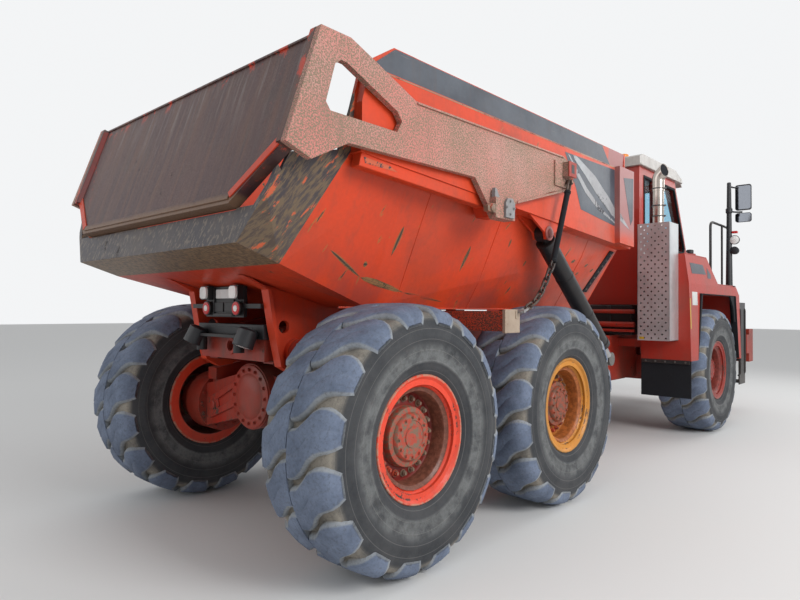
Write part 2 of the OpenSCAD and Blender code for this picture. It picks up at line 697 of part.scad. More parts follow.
module bumper() {
    color("firebrick") placed() {
        difference() {
            block(8350, nose_x, -1250, 1250, 760, 1290);
            both() bumper_lamp();
        }
        both() block(8200, 8350, 400, 1250, 900, 1200);
    }
}
guard_x = 4500;
guard_y0 = 930;
guard_y1 = 1300;
guard_t = 5;
guard_z0 = 1220;
guard_z1 = 2600;
fender_x = 4800;
pipe_r = 65;
pipe_z = 3100;
module exhaust_guard() {
    color("silver") placed() mirror([0, 1, 0]) {
        block(guard_x, guard_x + guard_t, guard_y0, guard_y1, guard_z0, guard_z1);
        block(guard_x, fender_x, guard_y0, guard_y0 + guard_t, guard_z0, guard_z1);
        block(guard_x, fender_x, guard_y1 - guard_t, guard_y1, guard_z0, guard_z1);
        block(guard_x, fender_x, guard_y0, guard_y1, guard_z0, guard_z0 + guard_t);
    }
}
module exhaust_pipe() {
    pipe_x = guard_x + 165;
    pipe_y = (guard_y0 + guard_y1) / 2;
    color("silver") placed() mirror([0, 1, 0]) {
        pin_z(pipe_x, pipe_y, 115, guard_z0 + guard_t, guard_z1 - 60);
        difference() {
            pin_z(pipe_x, pipe_y, pipe_r, guard_z1 - 60, pipe_z);
            pin_z(pipe_x, pipe_y, pipe_r - 4, guard_z1, pipe_z + 1);
            // slanted mouth
            translate([pipe_x - pipe_r, pipe_y, pipe_z]) rotate([0, 40, 0]) translate([-20, -100, 0]) cube([400, 200, 200]);
        }
    }
}

// Cab
cab_floor = 1650;
screen_x0 = 6200;
screen_x1 = 6700;
screen_z = 2440;
door_x0 = 5500;
door_z0 = 1960;
door_top = 3330;
HINGE_Z = [2120, 2660, 3200];
hinge_y = cab_y + 24;
hinge_pin_r = 9;
module cab_side() {
    polygon([[cab_rear_x, cab_floor], [cab_rear_x, cab_top], [screen_x0, cab_top], [screen_x1, screen_z],
        [screen_x1, cab_floor]]);
}
module cab_hollow() {
    polygon([[cab_rear_x + cab_t, cab_floor + cab_t], [cab_rear_x + cab_t, cab_top + 1],
        [screen_x0 - 20, cab_top + 1], [screen_x1 - cab_t, screen_z + 20], [screen_x1 - cab_t, cab_floor + cab_t]]);
}
module rear_window() { polygon([[5060, 2420], [5060, 3280], [5400, 3280], [5400, 2420]]); }
module front_window() { polygon([[5520, 2420], [5520, 3280], [6170, 3280], [6590, 2480], [6560, 2420]]); }
module door_hole(c) {
    polygon([[door_x0 - c, door_z0 - c], [door_x0 - c, door_top + c], [6170 + c, door_top + c],
        [6620 + c, 2470], [6620 + c, door_z0 - c]]);
}
module screen_hole(y) {
    // opening in the sloped windscreen wall
    cross_plate(6100, 6900, [[-y, screen_z + 60], [y, screen_z + 60], [y - 60, 3310], [-(y - 60), 3310]]);
}
module cab_shell() {
    color("indianred") placed() difference() {
        side_plate(-cab_y, cab_y, [[cab_rear_x, cab_floor], [cab_rear_x, cab_top], [screen_x0, cab_top],
            [screen_x1, screen_z], [screen_x1, cab_floor]]);
        translate([0, cab_y - cab_t, 0]) rotate([90, 0, 0]) linear_extrude(2 * (cab_y - cab_t)) cab_hollow();
        translate([0, -cab_y + cab_t + 1, 0]) rotate([90, 0, 0]) linear_extrude(cab_t + 2) {
            rear_window();
            front_window();
        }
        translate([0, cab_y + 1, 0]) rotate([90, 0, 0]) linear_extrude(cab_t + 2) {
            rear_window();
            door_hole(run_gap);
        }
        screen_hole(cab_y - 90);
        cross_plate(cab_rear_x - 1, cab_rear_x + cab_t + 1, [[-620, 2450], [620, 2450], [620, 3280], [-620, 3280]]);
    }
    color("indianred") placed() for (z = HINGE_Z) {
        pin_z(door_x0, hinge_y, 20, z - 50, z - 0.3);
        pin_z(door_x0, hinge_y, hinge_pin_r, z - 1, z + 50);
        block(door_x0 - 70, door_x0, cab_y, hinge_y, z - 50, z - 0.3);
    }
}
module cab_roof() {
    color("white") placed() {
        side_plate(-cab_y - 30, cab_y + 30, [[cab_rear_x - 60, cab_top], [cab_rear_x - 60, cab_top + 110],
            [cab_rear_x + 40, cab_top + 150], [6150, cab_top + 150], [6420, cab_top + 60], [6420, cab_top]]);
    }
}
module cab_glass() {
    pane = cab_t / 2;
    color("lightblue", 0.5) placed() {
        // side panes
        translate([0, -cab_y + pane + glass_t / 2, 0]) rotate([90, 0, 0]) linear_extrude(glass_t) {
            rear_window();
            front_window();
        }
        translate([0, cab_y - pane + glass_t / 2, 0]) rotate([90, 0, 0]) linear_extrude(glass_t) rear_window();
        // rear pane
        block(cab_rear_x + pane, cab_rear_x + pane + glass_t, -620, 620, 2450, 3280);
        // windscreen
        intersection() {
            side_plate(-cab_y, cab_y, [[screen_x0 - 28, cab_top - 10], [screen_x0 - 20, cab_top - 10],
                [screen_x1 - 20, screen_z], [screen_x1 - 28, screen_z]]);
            screen_hole(cab_y - 90);
        }
    }
}
module seat() {
    color("black") placed() {
        block(5430, 5930, -250, 250, 2120, 2230);
        block(5380, 5470, -240, 240, 2230, 2820);
        block(5480, 5880, -180, 180, cab_floor + cab_t, 2120);
    }
}
module dashboard() {
    color("dimgray") placed() {
        side_plate(-cab_y + cab_t, cab_y - cab_t - 20, [[6300, 2320], [6300, 2400], [6560, 2440], [6640, 2400],
            [6640, cab_floor + cab_t], [6560, cab_floor + cab_t], [6560, 2250]]);
        translate([6330, 0, 2330]) rotate([0, -30, 0]) cylinder(r = 30, h = 190);
        translate([6330, 0, 2330]) rotate([0, -30, 0]) translate([0, 0, 190])
            rotate_extrude() translate([190, 0]) circle(r = 16);
        translate([6330, 0, 2330]) rotate([0, -30, 0]) translate([-190, -16, 180]) cube([380, 32, 20]);
    }
}
module door_hinge(z) {
    pin_z(door_x0, hinge_y, 20, z, z + 50);
    block(door_x0, door_x0 + 70, cab_y, cab_y + 12, z, z + 50);
    block(door_x0, door_x0 + 12, cab_y, hinge_y, z, z + 50);
}
module door_window() { polygon([[5590, 2300], [5590, 3250], [6130, 3250], [6540, 2460], [6540, 2300]]); }
module cab_door() {
    color("indianred") placed() {
        translate([0, cab_y, 0]) rotate([90, 0, 0]) linear_extrude(cab_t)
            difference() { door_hole(0); door_window(); }
        for (z = HINGE_Z) difference() {
            door_hinge(z);
            pin_z(door_x0, hinge_y, hinge_pin_r + pin_gap, z - 1, z + 51);
        }
    }
}
module door_glass() {
    color("lightblue", 0.5) placed() translate([0, cab_y - cab_t / 2 + glass_t / 2, 0]) rotate([90, 0, 0])
        linear_extrude(glass_t) door_window();
}
module lamps() {
    color("white") placed() {
        both() {
            bumper_lamp();
        }
        translate([5150, -500, cab_top + 150]) cylinder(r = 60, h = 90);
    }
}
module mirrors() {
    color("black") placed() both() {
        translate([6750, 1360, deck_z]) cylinder(r1 = 45, r2 = 26, h = 1485);
        block(6750, 6960, 1360, 1385, 3330, 3350);
        block(6750, 6960, 1360, 1385, 2990, 3010);
        block(6940, 6990, 1385, 1600, 3020, 3390);
        block(6940, 6990, 1385, 1600, 2850, 2985);
        block(6945, 6965, 1360, 1385, 2900, 3350);
    }
}
module hood_side() {
    polygon([[6706, 1500], [6706, 2480], [7000, 2460], [8000, 2310], [8500, 2010], [8560, 1500]]);
}
module hood() {
    color("indianred") placed() {
        both() difference() {
            side_plate(390, 420, [[8425, 1475], [8475, 1470], [8531, 1501], [8526, 1559], [8480, 1535], [8425, 1530]]);
            pin_y(hood_x, hood_z, hood_pin_r + pin_gap, 380, 430);
        }
        hood_panels();
    }
}
module hood_panels() {
    difference() {
        translate([0, hood_y, 0]) rotate([90, 0, 0]) linear_extrude(2 * hood_y) hood_side();
        translate([0, hood_y - hood_t, 0]) rotate([90, 0, 0]) linear_extrude(2 * (hood_y - hood_t))
            polygon([[6706 + hood_t, 1499], [6706 + hood_t, 2480 - hood_t], [7000, 2460 - hood_t],
                [7990, 2310 - hood_t], [8474, 2010 - hood_t / 2], [8530, 1499]]);
        cross_plate(8300, 8700, [[-560, 1560], [560, 1560], [520, 1920], [-520, 1920]]);
    }
}
module grille() {
    color("black") placed() {
        for (z = [1580 : 55 : 1890]) {
            half = 553 - (z + 22 - 1560) / 9;
            cross_plate(8480, 8500, [[-half, z], [half, z], [half, z + 22], [-half, z + 22]]);
        }
        for (y = [-300, 0, 300]) block(8470, 8480, y - 12, y + 12, 1545, 1935);
    }
}

rear_frame();
outriggers();
tail_box();
bogie_beams();
bogie_axles();
propshafts();
hitch();
bed_floor();
bed_sides();
bed_front();
bed_chute();
bed_brackets();
tail_lamps();
tailgate();
tailgate_arms();
gate_chains();
hoist_barrels();
hoist_sleeves();
hoist_rods();
steer_barrel(1);  // steer_barrel_left
steer_barrel(-1);  // steer_barrel_right
steer_rod(1);  // steer_rod_left
steer_rod(-1);  // steer_rod_right
front_frame();
front_axle();
powertrain();
fenders();
mudflaps();
steps();
bumper();
exhaust_guard();
exhaust_pipe();
cab_shell();
cab_roof();
cab_glass();
seat();
dashboard();
cab_door();
door_glass();
lamps();
mirrors();
hood();
grille();
for (w = WHEELS) {
    wheel_tyre(w);
    wheel_rim(w);
}
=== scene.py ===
import math

import bmesh
import bpy
from mathutils import Matrix, Vector
from mathutils.bvhtree import BVHTree


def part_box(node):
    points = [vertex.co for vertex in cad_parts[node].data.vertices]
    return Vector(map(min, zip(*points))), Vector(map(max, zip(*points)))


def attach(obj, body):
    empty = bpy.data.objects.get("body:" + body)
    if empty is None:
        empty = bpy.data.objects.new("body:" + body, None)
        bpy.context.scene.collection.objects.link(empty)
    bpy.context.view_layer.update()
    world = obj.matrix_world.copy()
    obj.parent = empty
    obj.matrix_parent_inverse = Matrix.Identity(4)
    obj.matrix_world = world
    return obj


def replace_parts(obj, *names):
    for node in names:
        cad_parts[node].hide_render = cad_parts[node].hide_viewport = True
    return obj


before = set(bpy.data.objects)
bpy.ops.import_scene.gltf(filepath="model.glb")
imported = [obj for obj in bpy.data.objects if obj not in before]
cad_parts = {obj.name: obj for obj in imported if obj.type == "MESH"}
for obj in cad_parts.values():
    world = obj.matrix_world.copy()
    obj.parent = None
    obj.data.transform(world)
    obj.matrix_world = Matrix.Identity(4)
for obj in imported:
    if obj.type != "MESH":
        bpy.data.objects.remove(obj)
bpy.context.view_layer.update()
print("frame loaded:", len(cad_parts), "nodes")


# Places: x runs forward from the rear axle, y to the left, z up from the ground, in metres
def middleOf(node):
    low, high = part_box(node)
    return (low + high) / 2


rearAxle = middleOf("tyre_rear_left").x
middleAxle = middleOf("tyre_middle_left").x
frontAxle = middleOf("tyre_front_left").x
wheelY = middleOf("tyre_rear_left").y
wheelZ = middleOf("tyre_rear_left").z


def place(x, y, z):
    return Vector((rearAxle + x, y, z))


def inScene(name, data):
    made = bpy.data.objects.new(name, data)
    bpy.context.scene.collection.objects.link(made)
    return made


# Camera at the photograph's place
cameraSetup = {
    "place": (-2.701, -3.719, 1.555),
    "yaw": 42.65,
    "pitch": 0.97,
    "roll": -0.41,
    "focalPixels": 603.1,
    "photoWidth": 800,
}


def buildCamera(setup):
    data = bpy.data.cameras.new("photoCamera")
    data.sensor_width = 36.0
    data.lens = setup["focalPixels"] * data.sensor_width / setup["photoWidth"]
    data.clip_start = 0.05
    data.clip_end = 200.0
    camera = inScene("photoCamera", data)
    yaw, pitch = math.radians(setup["yaw"]), math.radians(setup["pitch"])
    aim = Vector((math.cos(pitch) * math.cos(yaw), math.cos(pitch) * math.sin(yaw), math.sin(pitch)))
    camera.rotation_mode = "QUATERNION"
    turn = Matrix.Rotation(math.radians(setup["roll"]), 3, aim) @ aim.to_track_quat("-Z", "Y").to_matrix()
    camera.rotation_quaternion = turn.to_quaternion()
    camera.location = place(*setup["place"])
    bpy.context.scene.camera = camera


buildCamera(cameraSetup)
bpy.context.scene.view_settings.view_transform = "Standard"


# Shader helpers
def addNode(tree, kind, inputs=None, **settings):
    made = tree.nodes.new(kind)
    for name, value in settings.items():
        setattr(made, name, value)
    for key, value in (inputs or {}).items():
        if isinstance(value, bpy.types.NodeSocket):
            tree.links.new(value, made.inputs[key])
        else:
            made.inputs[key].default_value = value
    return made


def outOf(tree, kind, inputs=None, **settings):
    return addNode(tree, kind, inputs, **settings).outputs[0]


def treeOf(*values):  # the tree that one of the sockets belongs to
    return next(value.id_data for value in values if isinstance(value, bpy.types.NodeSocket))


def colour(value):
    return (*value, 1.0) if len(value) == 3 else tuple(value)


def mixColour(factor, first, second):
    first, second = (shade if isinstance(shade, bpy.types.NodeSocket) else colour(shade)
        for shade in (first, second))
    return addNode(factor.id_data, "ShaderNodeMix", {0: factor, 6: first, 7: second},
        data_type="RGBA").outputs[2]


def mathNode(operation, first, second=0.0, clamp=False):
    return outOf(treeOf(first, second), "ShaderNodeMath", {0: first, 1: second}, operation=operation,
        use_clamp=clamp)


def times(first, second, clamp=False):
    return mathNode("MULTIPLY", first, second, clamp)


def plus(first, second, clamp=False):
    return mathNode("ADD", first, second, clamp)


def ramp(value, low, high):  # 0 at low, 1 at high
    return outOf(value.id_data, "ShaderNodeMapRange", {0: value, 1: low, 2: high},
        interpolation_type="SMOOTHSTEP")


def noise(vector, scale, detail=4.0, roughness=0.6, distortion=0.0):
    return outOf(vector.id_data, "ShaderNodeTexNoise", {"Vector": vector, "Scale": scale, "Detail": detail,
        "Roughness": roughness, "Distortion": distortion})


def stretched(vector, scale):
    return outOf(vector.id_data, "ShaderNodeMapping", {"Vector": vector, "Scale": scale})


def axisOf(spot, index):
    return addNode(spot.id_data, "ShaderNodeSeparateXYZ", {0: spot}).outputs[index]


def newGroup(name, inputs, outputs):
    tree = bpy.data.node_groups.new(name, "ShaderNodeTree")
    for label, kind, value in inputs:
        socket = tree.interface.new_socket(label, in_out="INPUT", socket_type=kind)
        socket.default_value = value
    for label, kind in outputs:
        tree.interface.new_socket(label, in_out="OUTPUT", socket_type=kind)
    start = tree.nodes.new("NodeGroupInput")
    end = tree.nodes.new("NodeGroupOutput")
    return tree, start.outputs, end.inputs


floatSocket, colourSocket, vectorSocket = "NodeSocketFloat", "NodeSocketColor", "NodeSocketVector"
objectSocket, countSocket = "NodeSocketObject", "NodeSocketInt"


def buildPaintGroup():
    tree, given, out = newGroup("wornPaint", [("Paint", colourSocket, (0.5, 0.1, 0.05, 1)),
        ("Faded", colourSocket, (0.6, 0.2, 0.1, 1)), ("Bare", colourSocket, (0.1, 0.07, 0.06, 1)),
        ("Dust", colourSocket, (0.35, 0.3, 0.25, 1)), ("Chips", floatSocket, 0.3),
        ("Chip Scale", floatSocket, 9.0), ("Scratches", floatSocket, 0.3), ("Streaks", floatSocket, 0.3),
        ("Dust Amount", floatSocket, 0.3), ("Edge Wear", floatSocket, 0.5), ("Grime", floatSocket, 0.3),
        ("Specks", floatSocket, 0.0), ("Spot", vectorSocket, (0, 0, 0))],
        [("Color", colourSocket), ("Roughness", floatSocket), ("Height", floatSocket)])
    spot = given["Spot"]
    surface = addNode(tree, "ShaderNodeNewGeometry")
    # broad fading of the paint
    base = mixColour(ramp(noise(spot, 1.4, 5.0), 0.38, 0.66), given["Paint"], given["Faded"])
    grain = noise(spot, 34.0, 3.0)
    base = mixColour(times(grain, 0.22), base, (0.04, 0.03, 0.03))
    # sooty patches
    soot = ramp(noise(spot, 2.7, 9.0, 0.68, 0.5), 0.5, 0.74)
    base = mixColour(times(soot, given["Grime"]), base, (0.055, 0.038, 0.03))
    # worn edges
    rounded = outOf(tree, "ShaderNodeBevel", {"Radius": 0.012}, samples=4)
    facing = addNode(tree, "ShaderNodeVectorMath", {0: rounded, 1: surface.outputs["Normal"]},
        operation="DOT_PRODUCT").outputs["Value"]
    edge = ramp(facing, 0.995, 0.86)
    edge = times(edge, given["Edge Wear"])
    # chips gather in patches and along the edges
    patch = ramp(noise(spot, 2.3, 4.0), 0.36, 0.72)
    fine = noise(spot, given["Chip Scale"], 9.0, 0.72)
    level = times(patch, given["Chips"])
    level = plus(level, times(edge, 0.5))
    threshold = mathNode("SUBTRACT", 0.78, times(level, 0.42))
    chip = times(mathNode("SUBTRACT", fine, threshold), 22.0, clamp=True)
    # fine specks all over, thicker in some places
    dots = noise(spot, 104.0, 3.0, 0.6)
    thick = times(noise(spot, 2.2, 5.0), 0.24)
    speck = ramp(plus(dots, thick), 0.59, 0.64)
    speck = times(speck, given["Specks"])
    chip = mathNode("MAXIMUM", chip, speck)
    # long scratches
    scratched = noise(stretched(spot, (1.2, 1.2, 26.0)), 3.0, 8.0, 0.75, 0.6)
    scratch = times(ramp(scratched, 0.63, 0.68), given["Scratches"])
    # dark streaks that run down
    run = noise(stretched(spot, (9.0, 9.0, 0.8)), 1.6, 6.0)
    streak = times(ramp(run, 0.5, 0.78), given["Streaks"])
    shade = mixColour(streak, base, (0.09, 0.06, 0.05))
    shade = mixColour(times(scratch, 0.6), shade, (0.3, 0.22, 0.19))
    shade = mixColour(chip, shade, given["Bare"])
    # dust settles on what faces up and near the ground
    facingUp = ramp(axisOf(surface.outputs["Normal"], 2), 0.2, 0.95)
    nearGround = ramp(axisOf(spot, 2), 1.3, 0.3)
    settled = plus(times(facingUp, 0.7), times(nearGround, 0.6))
    cloud = ramp(noise(spot, 3.2, 8.0, 0.7), 0.3, 0.72)
    dusty = times(times(settled, cloud), given["Dust Amount"], clamp=True)
    shade = mixColour(dusty, shade, given["Dust"])
    tree.links.new(shade, out["Color"])
    rough = plus(0.36, times(grain, 0.16))
    rough = plus(rough, times(dusty, 0.42))
    rough = plus(rough, times(chip, 0.3), clamp=True)
    tree.links.new(rough, out["Roughness"])
    relief = mathNode("SUBTRACT", times(grain, 0.25), times(chip, 0.6))
    tree.links.new(relief, out["Height"])
    return tree


paintGroup = buildPaintGroup()


def newMaterial(name):
    material = bpy.data.materials.new(name)
    material.use_nodes = True
    tree = material.node_tree
    tree.nodes.clear()
    shader = addNode(tree, "ShaderNodeBsdfPrincipled")
    end = addNode(tree, "ShaderNodeOutputMaterial")
    tree.links.new(shader.outputs[0], end.inputs["Surface"])
    return material, tree, shader


def reliefInto(tree, shader, height, distance, strength=1.0):
    bump = addNode(tree, "ShaderNodeBump", {"Strength": strength, "Distance": distance, "Height": height})
    tree.links.new(bump.outputs[0], shader.inputs["Normal"])


def objectSpot(tree, centre=None, lean=0.0):
    spot = addNode(tree, "ShaderNodeTexCoord").outputs["Object"]
    if centre is None:
        return spot
    moved = outOf(tree, "ShaderNodeVectorMath", {0: spot, 1: tuple(centre)}, operation="SUBTRACT")
    return outOf(tree, "ShaderNodeMapping", {"Vector": moved, "Rotation": (0.0, lean, 0.0)})


def wornLook(tree, spot, paint, faded, bare=(0.07, 0.045, 0.035), dust=(0.27, 0.215, 0.165), chips=0.3,
        chipScale=9.0, scratches=0.3, streaks=0.3, dustAmount=0.3, edgeWear=0.6, grime=0.3, specks=0.0):
    values = {"Paint": colour(paint), "Faded": colour(faded), "Bare": colour(bare), "Dust": colour(dust),
        "Chips": chips, "Chip Scale": chipScale, "Scratches": scratches, "Streaks": streaks,
        "Dust Amount": dustAmount, "Edge Wear": edgeWear, "Grime": grime, "Specks": specks, "Spot": spot}
    return addNode(tree, "ShaderNodeGroup", values, node_tree=paintGroup)


def finishPaint(tree, shader, shade, group, coat):
    tree.links.new(shade, shader.inputs["Base Color"])
    tree.links.new(group.outputs["Roughness"], shader.inputs["Roughness"])
    shader.inputs["Coat Weight"].default_value = coat
    shader.inputs["Specular IOR Level"].default_value = 0.3
    reliefInto(tree, shader, group.outputs["Height"], 0.002, 0.5)


def paintMaterial(name, paint, faded, coat=0.12, **looks):
    material, tree, shader = newMaterial(name)
    group = wornLook(tree, objectSpot(tree), paint, faded, **looks)
    finishPaint(tree, shader, group.outputs["Color"], group, coat)
    return material


def strokesAlong(spot, direction, lengthScale, widthScale):  # noise drawn out along a direction
    turn = Vector((1, 0, 0)).rotation_difference(Vector(direction)).to_euler()
    size = (1 / lengthScale, 1 / widthScale, 1 / widthScale)
    return outOf(spot.id_data, "ShaderNodeMapping", {"Vector": spot, "Rotation": tuple(turn),
        "Scale": size}, vector_type="TEXTURE")


chassisPaint = paintMaterial("chassisPaint", (0.4, 0.024, 0.01), (0.3, 0.03, 0.015), coat=0.05, chips=0.6,
    streaks=0.55, dustAmount=0.45, grime=0.65, chipScale=14.0)
bedPaint = paintMaterial("bedPaint", (0.66, 0.048, 0.01), (0.55, 0.05, 0.016), coat=0.05, chips=0.24,
    scratches=0.35, streaks=0.3, dustAmount=0.22, grime=0.35, bare=(0.1, 0.055, 0.03))
postPaint = paintMaterial("postPaint", (0.32, 0.075, 0.062), (0.32, 0.14, 0.13), coat=0.02, chips=0.3,
    scratches=0.4, streaks=0.2, dustAmount=0.25, grime=0.3)
cabPaint = paintMaterial("cabPaint", (0.43, 0.024, 0.011), (0.37, 0.042, 0.026), coat=0.15, chips=0.08,
    scratches=0.1, streaks=0.2, dustAmount=0.28, edgeWear=0.2, grime=0.2)
armPaint = paintMaterial("armPaint", (0.62, 0.215, 0.18), (0.52, 0.285, 0.24), coat=0.0,
    bare=(0.235, 0.175, 0.12), chips=0.35, chipScale=30.0, scratches=0.6, streaks=0.35, dustAmount=0.15,
    grime=0.3, specks=1.0)
bandPaint = paintMaterial("bandPaint", (0.045, 0.055, 0.072), (0.085, 0.1, 0.122), bare=(0.36, 0.1, 0.07),
    chips=0.35, chipScale=22.0, scratches=0.5, streaks=0.3, dustAmount=0.3, grime=0.2)
stripePaint = paintMaterial("stripePaint", (0.4, 0.42, 0.44), (0.3, 0.3, 0.31), bare=(0.06, 0.06, 0.07),
    chips=0.9, chipScale=26.0, scratches=0.6, streaks=0.3, dustAmount=0.2, grime=0.4)
blackPaint = paintMaterial("blackPaint", (0.012, 0.012, 0.013), (0.025, 0.025, 0.026), chips=0.15,
    streaks=0.1, dustAmount=0.35, grime=0.1)
# Outriggers: specked orange paint, brightened above the chassis paint as painted light to offset the shade
# they sit in
beamPaintWithPaintedLight = paintMaterial("beamPaintWithPaintedLight", (0.7, 0.075, 0.03), (0.6, 0.1, 0.05), bare=(0.09, 0.06, 0.045),
    chips=0.5, chipScale=26.0, scratches=0.3, streaks=0.3, dustAmount=0.2, grime=0.3, specks=0.9)
whitePaint = paintMaterial("whitePaint", (0.5, 0.48, 0.45), (0.38, 0.35, 0.32), chips=0.03, scratches=0.1,
    streaks=0.25, dustAmount=0.2, edgeWear=0.1, grime=0.08)
ironGrey = paintMaterial("ironGrey", (0.085, 0.083, 0.082), (0.13, 0.12, 0.11), chips=0.3, dustAmount=0.5)
shackleGrey = paintMaterial("shackleGrey", (0.3, 0.3, 0.31), (0.22, 0.21, 0.2), chips=0.3, chipScale=40.0)
chainIron = paintMaterial("chainIron", (0.045, 0.034, 0.03), (0.085, 0.052, 0.035), bare=(0.15, 0.12, 0.1),
    chips=0.6, chipScale=50.0, dustAmount=0.3)
anchorBeige = paintMaterial("anchorBeige", (0.42, 0.33, 0.25), (0.34, 0.24, 0.17), bare=(0.14, 0.07, 0.04),
    chips=0.8, chipScale=40.0, dustAmount=0.3)
rustCap = paintMaterial("rustCap", (0.16, 0.075, 0.045), (0.24, 0.17, 0.12), bare=(0.45, 0.05, 0.02),
    chips=0.9, chipScale=16.0, dustAmount=0.3)
platePaint = paintMaterial("platePaint", (0.7, 0.71, 0.7), (0.55, 0.55, 0.53), chips=0.1, dustAmount=0.3,
    grime=0.2)

# Tailgate: brown-purple plate, grey scuffs from its top edge down, red remnants, mud at the bottom
gateLook = {"hinge": (-0.95, 0.0, 2.35), "lean": 18.5, "top": 0.645, "bottom": -0.267}


def gateMaterial(look):
    material, tree, shader = newMaterial("gateSteel")
    spot = objectSpot(tree, place(*look["hinge"]), -math.radians(look["lean"]))
    group = wornLook(tree, spot, (0.058, 0.019, 0.021), (0.086, 0.032, 0.03), bare=(0.04, 0.027, 0.03),
        chips=0.5, chipScale=18.0, scratches=0.35, streaks=0.6, dustAmount=0.05, grime=0.5, specks=0.25)
    along = axisOf(spot, 2)
    runs = noise(stretched(spot, (4.0, 26.0, 1.6)), 1.0, 10.0, 0.72)
    scuff = times(ramp(runs, 0.5, 0.66), ramp(along, look["top"] - 0.62, look["top"]))
    browned = ramp(noise(stretched(spot, (2.0, 9.0, 0.7)), 1.3, 8.0, 0.65), 0.42, 0.66)
    shade = mixColour(times(browned, 0.65), group.outputs["Color"], (0.12, 0.052, 0.034))
    shade = mixColour(times(scuff, 0.7), shade, (0.2, 0.165, 0.155))
    peel = ramp(noise(stretched(spot, (3.0, 3.0, 2.0)), 2.4, 9.0, 0.7), 0.545, 0.6)
    edge = mathNode("ABSOLUTE", axisOf(spot, 1))
    near = mathNode("MAXIMUM", ramp(edge, 1.02, 1.29), ramp(along, look["top"] - 0.1, look["top"]))
    shade = mixColour(times(peel, near), shade, (0.46, 0.045, 0.02))
    mud = plus(ramp(along, look["bottom"] + 0.1, look["bottom"]), times(noise(spot, 7.0, 6.0), 0.5))
    shade = mixColour(ramp(mud, 0.55, 1.0), shade, (0.155, 0.085, 0.05))
    finishPaint(tree, shader, shade, group, 0.05)
    return material


gateSteel = gateMaterial(gateLook)


# Chute: blue-grey worn rear face, olive underside, orange left on the flanks
def chuteMaterial():
    material, tree, shader = newMaterial("chuteSteel")
    spot = objectSpot(tree)
    group = wornLook(tree, spot, (0.046, 0.04, 0.048), (0.086, 0.07, 0.066), bare=(0.035, 0.029, 0.03),
        chips=0.6, chipScale=6.0, scratches=0.8, streaks=0.5, dustAmount=0.15, grime=0.5)
    surface = addNode(tree, "ShaderNodeNewGeometry")
    down = ramp(axisOf(surface.outputs["Normal"], 2), -0.35, -0.8)
    strokes = noise(strokesAlong(spot, (0.58, -0.36, 0.73), 8.0, 48.0), 1.0, 6.0, 0.62)
    olive = mixColour(ramp(strokes, 0.4, 0.6), (0.11, 0.074, 0.048), (0.25, 0.16, 0.09))
    pale = times(ramp(strokes, 0.52, 0.62), 0.75)
    shade = mixColour(pale, group.outputs["Color"], (0.18, 0.142, 0.108))
    shade = mixColour(down, shade, olive)
    broadStrokes = noise(strokesAlong(spot, (0.62, -0.3, 0.72), 5.0, 22.0), 1.0, 5.0, 0.6)
    flank = ramp(mathNode("ABSOLUTE", axisOf(surface.outputs["Normal"], 1)), 0.45, 0.62)
    forward = times(ramp(axisOf(spot, 0), place(-0.66, 0, 0).x, place(-0.1, 0, 0).x), 0.16)
    cover = plus(plus(times(strokes, 0.4), times(broadStrokes, 0.6)), forward)
    shade = mixColour(times(flank, ramp(strokes, 0.42, 0.58)), shade, (0.15, 0.105, 0.066))
    left = ramp(cover, 0.575, 0.592)
    shade = mixColour(times(flank, left), shade, (0.52, 0.105, 0.045))
    finishPaint(tree, shader, shade, group, 0.05)
    return material


chuteSteel = chuteMaterial()


# Sides of the bed: orange-red with diagonal dark scuffs, pinker dust towards the front
def bedSideMaterial():
    material, tree, shader = newMaterial("bedSidePaint")
    spot = objectSpot(tree)
    group = wornLook(tree, spot, (0.7, 0.055, 0.01), (0.6, 0.058, 0.016), bare=(0.085, 0.05, 0.03),
        chips=0.22, chipScale=8.0, scratches=0.25, streaks=0.22, dustAmount=0.16, grime=0.3)
    scrape = noise(strokesAlong(spot, (0.42, -0.3, 0.86), 3.2, 13.0), 1.0, 4.0, 0.55)
    core = ramp(scrape, 0.685, 0.71)
    border = ramp(scrape, 0.665, 0.685)
    shade = mixColour(times(border, 0.7), group.outputs["Color"], (0.34, 0.17, 0.045))
    shade = mixColour(times(core, 0.9), shade, (0.04, 0.032, 0.034))
    forward = ramp(axisOf(spot, 0), place(1.7, 0, 0).x, place(3.1, 0, 0).x)
    high = ramp(axisOf(spot, 2), 2.2, 2.4)
    patches = mathNode("MAXIMUM", ramp(noise(spot, 2.2, 6.0), 0.35, 0.65), times(high, 0.8))
    pale = times(forward, patches)
    shade = mixColour(times(pale, 0.7), shade, (0.4, 0.135, 0.105))
    post = times(high, ramp(axisOf(spot, 0), place(2.885, 0, 0).x, place(2.905, 0, 0).x))
    shade = mixColour(times(post, 0.75), shade, (0.29, 0.16, 0.165))
    low = times(ramp(axisOf(spot, 2), 2.05, 1.62), ramp(noise(spot, 1.9, 7.0, 0.65), 0.4, 0.62))
    shade = mixColour(times(low, 0.5), shade, (0.2, 0.052, 0.048))
    finishPaint(tree, shader, shade, group, 0.05)
    return material


bedSidePaint = bedSideMaterial()


def plainMaterial(name, shade, roughness, metallic=0.0, scale=40.0, depth=0.0006, variation=0.25):
    material, tree, shader = newMaterial(name)
    spot = objectSpot(tree)
    fine = noise(spot, scale, 4.0)
    broad = ramp(noise(spot, 2.0, 4.0), 0.3, 0.7)
    dark = tuple(c * (1 - variation) for c in shade)
    light = tuple(min(1.0, c * (1 + variation)) for c in shade)
    tree.links.new(mixColour(broad, dark, light), shader.inputs["Base Color"])
    rough = plus(roughness - 0.08, times(fine, 0.16), clamp=True)
    tree.links.new(rough, shader.inputs["Roughness"])
    shader.inputs["Metallic"].default_value = metallic
    reliefInto(tree, shader, fine, depth, 0.6)
    return material


